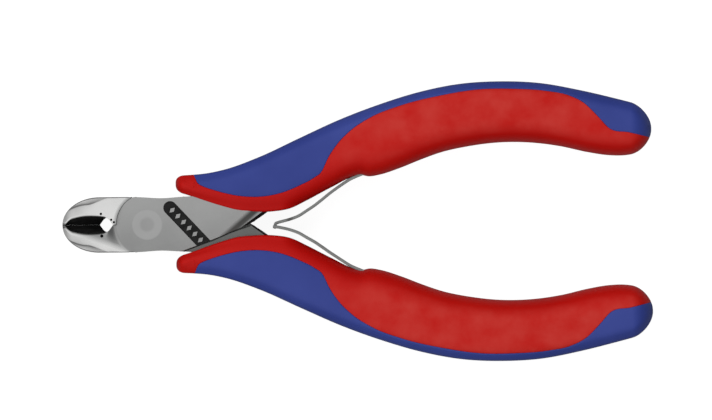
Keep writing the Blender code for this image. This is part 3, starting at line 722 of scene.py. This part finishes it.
def jaw_top(x, y, joins_plate):
    """Height of a jaw's polished face: a dome, with a facet along its outer flank."""
    crown = float(crown_height(x))
    ahead = float(crown_height(x + SLOPE_STEP))
    behind = float(crown_height(x - SLOPE_STEP))
    forward = (ahead - behind) / (2 * SLOPE_STEP)
    tilt = math.sqrt(max(LEAST_TILT_SQUARED, FACET_TILT ** 2 - forward ** 2))
    beyond = y - float(facet_line(x))
    beyond = (beyond + math.sqrt(beyond * beyond + FACET_CORNER_SQUARED)) / 2
    z = crown - CROWN_FALL * (y - beyond) ** 2 - tilt * beyond
    dip = FACET_DIP * (1 - FACET_DIP_LOSS * smoothstep(*FACET_DIP_FADE, x))
    z -= dip * (1 - math.exp(-beyond / FACET_DIP_WIDTH))
    width = LOWER_RIM_WIDTH if joins_plate else UPPER_RIM_WIDTH
    rim = float(valley_rim(min(x, VALLEY_RIM[-1][0])))
    edge = max(0.0, 1 - max(0.0, y - rim) / width)
    z -= RIM_SLOPE * width / 2 * edge ** 2 * (1 - smoothstep(*RIM_FADE, x))
    if joins_plate:
        share = 1 - smoothstep(*FILLET, math.hypot(x, y))
        z = z + (FILLET_TOP - z) * share
    return z


def flush_height(x):
    return FLUSH_TIP_Z - (x + JAW_REACH) * math.tan(FLUSH_SLOPE)


def hole_half(x):
    """Half width of the relief hole, which has a small point at each end."""
    across = (x - RELIEF_HOLE_X) / RELIEF_HOLE_REACH
    return RELIEF_HOLE_HALF * max(0.0, 1 - across * across) ** RELIEF_HOLE_POINT


def jaw_stations(end):
    """Where sections of a jaw are taken, from its tip to where it ends inside the joint."""
    front = JAW_REACH + HEAD_ELLIPSE_X
    tip = HEAD_ELLIPSE_X - front * np.cos(np.radians(TIP_TURNS))
    tip = tip[tip < RELIEF_HOLE_X - RELIEF_HOLE_REACH - TIP_MARGIN]
    reach = RELIEF_HOLE_REACH + HOLE_MARGIN
    hole = RELIEF_HOLE_X - reach * np.cos(np.radians(HOLE_TURNS))
    last = math.acos(math.sqrt(end ** 2 - JAW_END_HALF ** 2) / end)
    turns = np.radians(np.linspace(LAP_FIRST_TURN, math.degrees(last), LAP_POINTS))
    lap = -end * np.cos(turns)
    bridge = np.linspace(hole[-1], lap[0], BRIDGE_POINTS)[1:-1]
    return np.concatenate([tip, hole, bridge, lap])


def jaw_ring(x, end, joins_plate):
    """One closed section of a jaw: wall of the valley, top, outer side and flush face."""
    outer = head_side(x)
    if x > CHEEK_INSET_X:
        outer -= CHEEK_INSET
    inner = max(JAW_GAP, hole_half(x))
    soft = 1.0
    if abs(x) < end:
        inner = max(inner, math.sqrt(end * end - x * x))
        soft = RIM_ROUND_AT_LAP
    outer = max(outer, inner + LEAST_JAW)
    rim = float(valley_rim(x)) if x < RELIEF_HOLE_X else 0.0
    rim = min(max(rim, inner + RIM_SET_BACK), outer - LEAST_TOP)
    base = max(flush_height(x), JAW_BOTTOM_LIMIT)
    top = jaw_top(x, rim, joins_plate)
    edge_z = min(base + EDGE_LAND, top - LEAST_WALL)
    straight, curved, power = WALL_BELLY
    ring = []
    for t in np.linspace(1, 0, WALL_POINTS)[::-1]:
        y = inner + (rim - inner) * (straight * t + curved * t ** power)
        ring.append((y, edge_z + (top - RIM_ROUND - edge_z) * t))
    ring.append((rim + RIM_ROUND_MIDDLE[0] * soft, top - RIM_ROUND_MIDDLE[1]))
    start = RIM_ROUND * soft
    for t in np.linspace(0, 1, TOP_POINTS) ** TOP_SPREAD:
        y = rim + start + (outer - SIDE_ROUND - rim - start) * t
        ring.append((y, jaw_top(x, y, joins_plate)))
    last = ring[-1][1]
    for a in np.radians(SIDE_ROUND_TURNS):
        y = outer - SIDE_ROUND + SIDE_ROUND * math.sin(a)
        ring.append((y, last - SIDE_ROUND_FALL * (1 - math.cos(a)) - SIDE_ROUND_DROP))
    ring += between(ring[-1], (outer, base + FOOT_ROUND), THIRDS)
    ring += [(outer, base + FOOT_ROUND), (outer - FOOT_BREAK, base + FOOT_BREAK)]
    ring.append((outer - FOOT_ROUND, base))
    ring += between(ring[-1], (inner + EDGE_BREAK, base), THIRDS)
    ring += [(inner + EDGE_BREAK, base), (inner, base + EDGE_BREAK)]
    return ring


def jaw(name, side, joins_plate, end):
    """A jaw that reaches back to a circle round the rivet; only the lower joins the plate."""
    stations = jaw_stations(end)
    rings = []
    for x in stations:
        ring = jaw_ring(float(x), end, joins_plate)
        rings.append([world(float(x), side * y, z) for y, z in ring])
    item = steel_slots(loft(name, rings), GROUND)
    # The valley's walls are painted black as shade, to just past the relief hole
    last_dark = RELIEF_HOLE_X + RELIEF_HOLE_REACH + DARK_PAST_HOLE
    for face in item.data.polygons:
        row, column = divmod(face.index, len(rings[0]))
        is_wall = row < len(rings) - 1 and column < WALL_POINTS - 1
        if is_wall and stations[row] < last_dark:
            face.material_index = DARK
    return item


def plate_outline():
    """Top plate in plan: round lap end, head side, shank, crotch and back edge."""
    outline = arc((0, 0), LAP_RADIUS, *LAP_ARC)
    outline += [(x, head_side(x)) for x in np.linspace(*HEAD_SIDE_X)]
    outline += smooth_line(list(reversed(SHANK_OUTER)), steps=6)[1:]
    outline += [CROTCH_END] + CROTCH_EDGE
    outline += smooth_line(list(reversed(BACK_EDGE)), steps=8)
    outline += [(x, -head_side(x)) for x in np.linspace(*BACK_SIDE_X)]
    outline += arc((0, 0), LAP_RADIUS - BACK_INSET, *BACK_ARC)
    return outline


def shank_outline():
    """The handle between the plate and the grip, in plan."""
    inner = [(x, -y + SHANK_CLEARANCE) for x, y in BACK_EDGE[:3]]
    outer = [(x, y - SHANK_INSET) for x, y in smooth_line(SHANK_OUTER, steps=4)]
    return inner + SHANK_CROTCH + outer + [SHANK_BACK]


def half(name, side):
    """A forged half: side +1 has the top plate, the lower jaw and the upper handle."""
    is_front = side > 0
    low, high = sorted((side * LAP_GAP, side * LAP_HALF))
    item = slab(name, turned(plate_outline(), side), low, high, EDGE_ROUND)
    lap_end = LAP_RADIUS + LAP_CLEARANCE
    cheek = jaw(name + "_jaw", -side, is_front, FRONT_JAW_END if is_front else lap_end)
    if is_front:
        outline = arc((0, 0), lap_end + DISC_EXTRA, *DISC_ARC)
        combine(cheek, slab(name + "_disc", outline, -CUT_PAST, LAP_GAP), "DIFFERENCE")
    combine(item, cheek, "UNION")
    low, high = sorted((-side * SHANK_LOW, side * (LAP_HALF - SHANK_STEP)))
    outline = turned(shank_outline(), side)
    combine(item, slab(name + "_shank", outline, low, high, EDGE_ROUND), "UNION")
    # The seat's and the bore's walls are painted black as shade round the rivet
    outline = circle((0, 0), RIVET_HEAD_RADIUS + SEAT_CLEARANCE, points=120)
    low, high = sorted((side * (LAP_HALF - RIVET_HEAD_DEPTH), side * (LAP_HALF + SEAT_ROOF)))
    combine(item, slab(name + "_seat", outline, low, high, finish=DARK), "DIFFERENCE")
    outline = circle((0, 0), RIVET_SHAFT_RADIUS + BORE_CLEARANCE, points=72)
    bore = slab(name + "_bore", outline, -CUT_PAST, CUT_PAST, finish=DARK)
    combine(item, bore, "DIFFERENCE")
    for x, y, radius, depth in JAW_PITS:
        if (y < 0) == is_front:
            height = jaw_top(x, abs(y), is_front)
            combine(item, pit_cutter(x, y, radius, depth, height), "DIFFERENCE")
    if is_front:
        combine(item, ramp_cutter(), "DIFFERENCE")
        recess_marking_bar(item)
    top = LAP_HALF - RAMP_DROP if is_front else SHANK_LOW
    combine(item, crotch_chamfer(side, top), "DIFFERENCE")
    return item


def extruded_profile(name, profile, place, angle, reach, finish):
    """A (distance, height) profile drawn out along a direction in plan; distance runs across."""
    along = Vector((math.cos(angle), math.sin(angle)))
    across = Vector((along.y, -along.x))
    rings = []
    for step in (-reach, reach):
        start = Vector(place) + along * step
        rings.append([world(*(start + across * d), z) for d, z in profile])
    return steel_slots(loft(name, rings), finish)


def pit_cutter(x, y, radius, depth, height):
    """A small blunt cone, point down, its mouth at the given height."""
    levels = (-depth, -depth * PIT_KNEE, *PIT_MOUTH_LEVELS)
    rings = []
    for share, level in zip(PIT_RADIUS_SHARES, levels):
        outline = circle((x, y), radius * share, points=24)
        rings.append([world(*place, height + level) for place in outline])
    # The pit's faces are painted black as shade
    return steel_slots(loft("pit", rings), DARK)


def ramp_cutter():
    """Takes the top plate down to the handle's level, in a soft step across the shank."""
    profile = []
    for t in np.linspace(0, 1, RAMP_POINTS):
        drop = RAMP_DROP * smoothstep(0, 1, float(t))
        profile.append((RAMP_WIDTH * (t - 0.5), LAP_HALF + RAMP_LIFT - drop))
    profile += [(RAMP_FAR, LAP_HALF - RAMP_DROP), (RAMP_FAR, RAMP_ROOF)]
    profile.append((-RAMP_WIDTH / 2, RAMP_ROOF))
    return extruded_profile("ramp", profile, RAMP_PLACE, RAMP_ANGLE, RAMP_REACH, GROUND)


def crotch_chamfer(side, top):
    """The bevel along a handle's edge beside the crotch, painted black as shade."""
    start = Vector(CROTCH)
    end = Vector(CROTCH_END)
    lean = math.atan2(end.y - start.y, end.x - start.x)
    width = FRONT_CHAMFER if side > 0 else REAR_CHAMFER
    profile = [
        (-width, top + CHAMFER_LIFT),
        (CHAMFER_PAST, top - (width + CHAMFER_PAST) * CHAMFER_FALL),
        (CHAMFER_PAST, top + CHAMFER_ROOF),
        (-width, top + CHAMFER_ROOF),
    ]
    angle = lean if side > 0 else math.pi - lean
    middle = ((start.x + end.x) / 2, side * (start.y + end.y) / 2)
    return extruded_profile("chamfer", profile, middle, angle, CHAMFER_REACH, DARK)


def recess_marking_bar(item):
    """The long dark recess in the top plate, with a row of plain raised diamonds."""
    along = Vector((math.cos(BAR_ANGLE), math.sin(BAR_ANGLE)))
    across = Vector((-along.y, along.x))
    end = Vector(BAR_START) + along * BAR_LENGTH
    lean = math.degrees(BAR_ANGLE)
    outline = arc(BAR_START, BAR_HALF_WIDTH, lean + 90, lean + 270, steps=24)
    outline += arc(end, BAR_HALF_WIDTH, lean - 90, lean + 90, steps=24)
    floor = LAP_HALF - BAR_DEPTH
    combine(item, slab("bar", outline, floor, LAP_HALF + BAR_ROOF, finish=DARK), "DIFFERENCE")
    for step in DIAMOND_STEPS:
        middle = Vector(BAR_START) + along * step
        corners = [
            middle + along * DIAMOND_HALF_LENGTH, middle + across * DIAMOND_HALF_WIDTH,
            middle - along * DIAMOND_HALF_LENGTH, middle - across * DIAMOND_HALF_WIDTH,
        ]
        outline = [tuple(c) for c in corners]
        mark = slab("mark", outline, floor - DIAMOND_ROOT, LAP_HALF - DIAMOND_SINK)
        combine(item, mark, "UNION")


def rivet():
    """The rivet, the same on both faces."""
    head_foot = LAP_HALF - RIVET_HEAD_DEPTH
    face = [(radius, LAP_HALF - depth) for radius, depth in RIVET_FACE]
    face.append((RIVET_HEAD_RADIUS, head_foot + RIVET_SHOULDER[0]))
    face.append((RIVET_SHAFT_RADIUS, head_foot - RIVET_SHOULDER[1]))
    back = [(radius, -z) for radius, z in reversed(face)]
    turns = np.radians(np.arange(RIVET_SIDES) * 360 / RIVET_SIDES)
    rings = []
    for radius, z in face + back:
        rings.append([world(radius * math.cos(a), radius * math.sin(a), z) for a in turns])
    return loft("rivet", rings)


# ----------------------------------------------------------------------------- springs

def leaf_line(side):
    """Points along the middle of a leaf, from its tip to its root inside the grip."""
    along = Vector((math.cos(LEAF_ROOT_ANGLE), math.sin(LEAF_ROOT_ANGLE)))
    root = [tuple(Vector(LEAF_HINGE) + along * d) for d in LEAF_ROOT_STEPS]
    tip = HOOK_TIP if side > 0 else WINDOW_TIP
    return smooth_line(tip + LEAF_LINE + root, LEAF_STEPS)


def leaf_half_width(x, side):
    """Half width of a leaf; the upper one narrows to a tongue that ends in the hook."""
    if side < 0:
        return LEAF_WIDTH / 2
    share = smoothstep(TONGUE_END_X, TONGUE_END_X + TONGUE_WIDENING, x)
    return TONGUE_WIDTH / 2 + (LEAF_WIDTH - TONGUE_WIDTH) / 2 * share


def leaf(name, side):
    line = leaf_line(side)
    last = len(line) - 1
    rings = []
    for i, point in enumerate(line):
        here = Vector(point)
        ahead = Vector(line[min(i + 1, last)]) - Vector(line[max(i - 1, 0)])
        normal = Vector((-ahead.y, ahead.x)).normalized()
        thick = LEAF_THICKNESS / 2 * (LEAF_END_THINNING if i in (0, last) else 1.0)
        wide = leaf_half_width(point[0], side)
        ring = []
        for across, up, start in LEAF_CORNERS:
            for a in np.radians([start + turn for turn in LEAF_CORNER_TURNS]):
                out = across * (thick - LEAF_EDGE) + LEAF_EDGE * math.cos(a)
                place = here + normal * out
                droop = LEAF_DROOP * (1 - smoothstep(*LEAF_DROOP_FADE, place.x))
                z = up * (wide - LEAF_EDGE) + LEAF_EDGE * math.sin(a)
                ring.append(world(place.x, side * place.y + droop, z))
        rings.append(ring)
    item = loft(name, rings)
    if side < 0:
        combine(item, cross_window(name + "_window"), "DIFFERENCE")
    return item


def cross_window(name):
    """A solid with round corners that passes through the lower leaf along Y."""
    start = WINDOW_X[0] + WINDOW_CORNER
    end = WINDOW_X[1] - WINDOW_CORNER
    side = WINDOW_WIDTH / 2 - WINDOW_CORNER
    outline = []
    for quarter, centre in enumerate(((end, side), (start, side), (start, -side), (end, -side))):
        outline += arc(centre, WINDOW_CORNER, 90 * quarter, 90 * (quarter + 1), steps=6)
    rings = [[world(x, y, z) for x, z in outline] for y in (-WINDOW_REACH, WINDOW_REACH)]
    return loft(name, rings)


# --------------------------------------------------------------------------- materials

class Nodes:
    """Short names for building the nodes of a material or the sky."""

    def __init__(self, owner, coordinates=None):
        owner.use_nodes = True
        self.tree = owner.node_tree
        if coordinates is not None:
            self.place = self.node("TexCoord", {}).outputs[coordinates]

    def fill(self, node, inputs):
        """Link a node's inputs to other nodes' outputs, or set them to plain values."""
        for name, value in inputs.items():
            if isinstance(value, bpy.types.NodeSocket):
                self.tree.links.new(value, node.inputs[name])
            else:
                node.inputs[name].default_value = value

    def node(self, kind, inputs, **settings):
        node = self.tree.nodes.new("ShaderNode" + kind)
        for name, value in settings.items():
            setattr(node, name, value)
        self.fill(node, inputs)
        return node

    def shade(self, inputs):
        self.fill(self.tree.nodes["Principled BSDF"], inputs)

    def noise(self, scale, detail, roughness=0.5, stretch=None):
        place = self.place
        if stretch is not None:
            place = self.node("Mapping", {"Vector": place, "Scale": stretch}).outputs["Vector"]
        inputs = {"Vector": place, "Scale": scale, "Detail": detail, "Roughness": roughness}
        return self.node("TexNoise", inputs).outputs["Fac"]

    def ramp(self, source, stops):
        """A colour by a number, from (number, colour) pairs."""
        node = self.node("ValToRGB", {"Fac": source})
        elements = node.color_ramp.elements
        while len(elements) < len(stops):
            elements.new(0.5)
        for element, (position, colour) in zip(elements, stops):
            element.position = position
            element.color = (*colour, 1.0)
        return node.outputs["Color"]

    def greys(self, source, stops):
        return self.ramp(source, [(position, (level,) * 3) for position, level in stops])

    def drifting(self, drift, colours):
        return self.ramp(drift, list(zip(DRIFT_STOPS, colours)))

    def mix(self, share, first, second, data_type="RGBA"):
        inputs = {"Factor": share, "A": first, "B": second}
        return self.node("Mix", inputs, data_type=data_type).outputs["Result"]

    def maths(self, operation, first, second):
        return self.node("Math", {0: first, 1: second}, operation=operation).outputs["Value"]

    def product(self, first, second):
        return self.maths("MULTIPLY", first, second)

    def span(self, source, low, high):
        """A number from 0 to 1, spread from low to high."""
        inputs = {"Value": source, "To Min": low, "To Max": high}
        return self.node("MapRange", inputs).outputs["Result"]

    def fade(self, source, limits, middle=0.0):
        """0 at the first limit and 1 at the second, in millimetres from the middle."""
        start, end = limits
        inputs = {"Value": source, "From Min": middle + start * MM, "From Max": middle + end * MM}
        return self.node("MapRange", inputs).outputs["Result"]

    def axis(self, letter):
        return self.node("SeparateXYZ", {"Vector": self.place}).outputs[letter]

    def height(self):
        """Distance from the middle plane."""
        away = self.maths("SUBTRACT", self.axis("Z"), PIVOT.z)
        return self.node("Math", {0: away}, operation="ABSOLUTE").outputs["Value"]

    def along(self, direction):
        """How far a point lies from the rivet's axis along a direction."""
        axis = (PIVOT.x, PIVOT.y, 0)
        away = self.node("VectorMath", {0: self.place, 1: axis}, operation="SUBTRACT")
        inputs = {0: away.outputs["Vector"], 1: direction}
        return self.node("VectorMath", inputs, operation="DOT_PRODUCT").outputs["Value"]

    def radius(self):
        """Distance from the rivet's axis."""
        flat = self.node("Mapping", {"Vector": self.place, "Scale": (1, 1, 0)})
        inputs = {0: flat.outputs["Vector"], 1: (PIVOT.x, PIVOT.y, 0)}
        return self.node("VectorMath", inputs, operation="DISTANCE").outputs["Value"]

    def bump(self, source, strength, distance, below=None):
        inputs = {"Height": source, "Strength": strength, "Distance": distance}
        if below is not None:
            inputs["Normal"] = below
        return self.node("Bump", inputs).outputs["Normal"]


def moulded(name, colours, roughness, gloss, sheen=None):
    """Satin moulded plastic: slow colour drift, fine grain and faint scuffs.

    The optional paler colour is painted on the highest parts as a painted sheen of the light from
    above.
    """
    material = bpy.data.materials.new(name)
    n = Nodes(material, "Object")
    colour = n.drifting(n.noise(scale=60, detail=3), colours)
    if sheen is not None:
        # Painted sheen: the highest parts take a paler colour where the light from above glances
        # off them
        sheened = n.drifting(n.noise(scale=240, detail=4), (colours[1], sheen))
        colour = n.mix(n.fade(n.height(), SHEEN_HEIGHT), colour, sheened)
    scuff = n.noise(scale=900, detail=5, roughness=0.6, stretch=(1.0, 1.6, 1.0))
    grain = n.bump(n.noise(scale=5200, detail=2), strength=0.12, distance=0.00004)
    waves = n.noise(scale=700, detail=3)
    n.shade({
        "Base Color": colour,
        "Roughness": n.span(scuff, roughness - 0.06, roughness + 0.08),
        "Specular IOR Level": gloss,
        "Normal": n.bump(waves, strength=0.1, distance=0.0001, below=grain),
    })
    return material


def steel(name, stretch, paint):
    """Steel with fine lines, closest together along the axis that stretch scales the most.

    paint(n, drift, finish) gives the colour, and the roughness from place to place.
    """
    material = bpy.data.materials.new(name)
    n = Nodes(material, "Object")
    drift = n.noise(scale=180, detail=4)
    lines = n.noise(scale=1500, detail=4, roughness=0.6, stretch=stretch)
    finish = n.span(lines, STEEL_ROUGHNESS - 0.07, STEEL_ROUGHNESS + 0.09)
    colour, finish = paint(n, drift, finish)
    n.shade({
        "Base Color": colour,
        "Metallic": 1.0,
        "Roughness": finish,
        "Normal": n.bump(lines, strength=0.06, distance=0.00003),
    })
    return material


def forging(n, drift, finish):
    """Ground plates painted a little paler at the top of the head as painted light, polished
    jaws, and painted shade on the low faces and the ramp's slope.
    """
    # Painted light: the plates grow paler towards +Y, the side the light comes from
    across = n.fade(n.axis("Y"), HEAD_PAINTED_LIGHT_Y, PIVOT.y)
    shade = n.mix(PLATE_DRIFT, across, drift, "FLOAT")
    colour = n.ramp(shade, list(zip(PLATE_STOPS, PLATE)))
    # Painted shade: faces lower than the plate take a dark colour
    shaded = n.drifting(drift, PAINTED_SHADE)
    colour = n.mix(n.fade(n.height(), PAINTED_SHADE_HEIGHT), colour, shaded)

    in_front = n.maths("LESS_THAN", n.axis("X"), PIVOT.x)
    polished = n.product(n.fade(n.radius(), POLISHED_RADIUS), in_front)
    colour = n.mix(polished, colour, n.drifting(drift, POLISHED))
    inward = n.maths("ADD", n.along(GROUND_SIDE_NORMAL), GROUND_SIDE_OFFSET * MM)
    lower = n.fade(n.axis("Y"), LOWER_JAW_Y, PIVOT.y)
    ground_side = n.product(n.fade(inward, GROUND_SIDE_DISTANCE), lower)
    colour = n.mix(n.product(ground_side, polished), colour, n.drifting(drift, GROUND_SIDE))

    # Painted shade on the ramp's slope behind the joint, between its top and foot
    top = n.fade(n.height(), RAMP_TOP_HEIGHT)
    foot = n.fade(n.height(), RAMP_FOOT_HEIGHT)
    behind = n.maths("GREATER_THAN", n.axis("X"), PIVOT.x + RAMP_BEHIND_X * MM)
    colour = n.mix(n.product(n.product(top, foot), behind), colour, shaded)
    shine = n.span(n.noise(scale=420, detail=3), 0.1, 0.2)
    return colour, n.mix(polished, finish, shine, "FLOAT")


def rivet_face(n, drift, finish):
    """The upset ring round the rivet's middle is a little paler than the plates."""
    ring = n.fade(n.radius(), RIVET_RING_RADIUS)
    edge = n.fade(n.radius(), RIVET_RING_EDGE)
    pale = n.drifting(drift, RIVET_RING)
    return n.mix(n.product(ring, edge), n.drifting(drift, RIVET), pale), finish


def rolled_strip(n, drift, finish):
    """The leaf springs' steel, the same all over."""
    return n.drifting(drift, SPRING), finish


def oxide_and_shade_black(name):
    """Black for the marking bar's oxide, and painted shade in the jaws' valley, the pits, the
    rivet's seats and bores and the crotch bevels; dull and uneven.
    """
    material = bpy.data.materials.new(name)
    n = Nodes(material, "Object")
    drift = n.noise(scale=700, detail=4)
    n.shade({
        "Base Color": n.drifting(drift, OXIDE_AND_PAINTED_SHADE),
        "Roughness": n.span(drift, 0.55, 0.8),
        "Specular IOR Level": 0.12,
        "Normal": n.bump(drift, strength=0.2, distance=0.00005),
    })
    return material


def dress(item, material):
    item.data.materials.clear()
    item.data.materials.append(material)


# ------------------------------------------------------------------- camera, light, floor

def make_camera():
    data = bpy.data.cameras.new("camera")
    data.sensor_width = SENSOR_WIDTH
    data.lens = SENSOR_WIDTH * VIEW_DISTANCE / (VIEW_WIDTH * MM)
    data.clip_end = FAR_CLIP
    camera = bpy.data.objects.new("camera", data)
    camera.location = (VIEW_CENTRE[0] * MM, VIEW_CENTRE[1] * MM, VIEW_DISTANCE + PIVOT.z)
    camera.rotation_euler = (0, 0, VIEW_TURN)
    bpy.context.scene.collection.objects.link(camera)
    bpy.context.scene.camera = camera


def area_light(name, place, power):
    """A soft lamp that faces the frame's origin and isn't seen in reflections."""
    data = bpy.data.lights.new(name, "AREA")
    data.shape = "RECTANGLE"
    data.size, data.size_y = LIGHT_SIZE
    data.energy = power
    light = bpy.data.objects.new(name, data)
    light.location = place
    light.rotation_euler = (-Vector(place)).to_track_quat("-Z", "Y").to_euler()
    light.visible_glossy = False
    bpy.context.scene.collection.objects.link(light)


def make_sky():
    """A soft box's light: bright above, darker low down and towards the tails."""
    sky = bpy.data.worlds.new("studio")
    n = Nodes(sky, "Generated")
    centred = {0: n.axis("X"), 1: 0.5, 2: 0.5}
    side = n.node("Math", centred, operation="MULTIPLY_ADD").outputs["Value"]
    n.fill(n.tree.nodes["Background"], {
        "Color": n.greys(n.axis("Z"), SKY_BY_HEIGHT),
        "Strength": n.greys(side, SKY_BY_SIDE),
    })
    bpy.context.scene.world = sky


def make_floor():
    """White paper where the camera sees it, and a grey that the tool's metal reflects."""
    signs = ((-1, -1), (1, -1), (1, 1), (-1, 1))
    corners = [(x * FLOOR_HALF, y * FLOOR_HALF, 0) for x, y in signs]
    floor = add_mesh("floor", corners, [(0, 1, 2, 3)])
    floor.location.z = FLOOR_Z
    material = bpy.data.materials.new("floor")
    n = Nodes(material)
    n.shade({
        "Base Color": (0.2, 0.2, 0.2, 1.0),
        "Roughness": 0.9,
        "Specular IOR Level": 0.0,
        "Emission Color": (1.0, 1.0, 1.0, 1.0),
        "Emission Strength": 0.92,
    })
    paper = n.tree.nodes["Principled BSDF"].outputs["BSDF"]
    grey = n.node("BsdfDiffuse", {"Color": (0.3, 0.3, 0.3, 1.0)}).outputs["BSDF"]
    seen = n.node("LightPath", {}).outputs["Is Camera Ray"]
    either = n.node("MixShader", {0: seen, 1: grey, 2: paper})
    n.fill(n.tree.nodes["Material Output"], {"Surface": either.outputs["Shader"]})
    dress(floor, material)


# ------------------------------------------------------------------------------- scene

make_camera()
bpy.context.scene.view_settings.view_transform = "Standard"
make_sky()
area_light("key", place=(-0.05, 0.3, 0.6), power=1.1)
area_light("fill", place=(0.1, -0.1, 0.7), power=0.2)
make_floor()

red = moulded("red_moulding", RED, roughness=0.42, gloss=0.12, sheen=RED_PAINTED_SHEEN)
blue = moulded("blue_moulding", BLUE, roughness=0.46, gloss=0.22)
ground = steel("ground_steel", (1, 12, 1), forging)
rivet_steel = steel("rivet_steel", (4, 4, 1), rivet_face)
# Black for the marking bar's oxide, and painted shade in hollows and gaps
dark = oxide_and_shade_black("dark_steel")
spring = steel("spring_steel", (1, 1, 12), rolled_strip)

for prefix, side in (("upper", 1), ("lower", -1)):
    body = prefix + "_handle"
    core = grip_piece(prefix + "_grip_red", side, False)
    shell = grip_piece(prefix + "_grip_blue", side, True)
    for piece, node, material, slot in (
        (core, "_grip_core", red, "red_moulding"), (shell, "_grip_shell", blue, "blue_moulding"),
    ):
        dress(piece, material)
        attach(piece, body)
        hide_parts(prefix + node)

    piece = leaf(prefix + "_leaf", side)
    dress(piece, spring)
    smooth(piece, angle=40)
    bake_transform(piece)
    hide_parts(prefix + "_leaf_spring")

for name, side, body in (
    ("front_forging", 1, "upper_handle"), ("rear_forging", -1, "lower_handle"),
):
    piece = half(name, side)
    smooth(piece, angle=32)
    level = piece.modifiers.new("level", "WEIGHTED_NORMAL")
    level.keep_sharp = True
    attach(piece, body)
    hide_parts("front_half" if side > 0 else "rear_half")

piece = rivet()
dress(piece, rivet_steel)
smooth(piece, angle=32)
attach(piece, "upper_handle")
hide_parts("pivot_rivet")

for name in ("upper_spring_rivet", "lower_spring_rivet"):
    node = frame["nodes"][name]
    node.data.materials.clear()
    node.data.materials.append(ground)
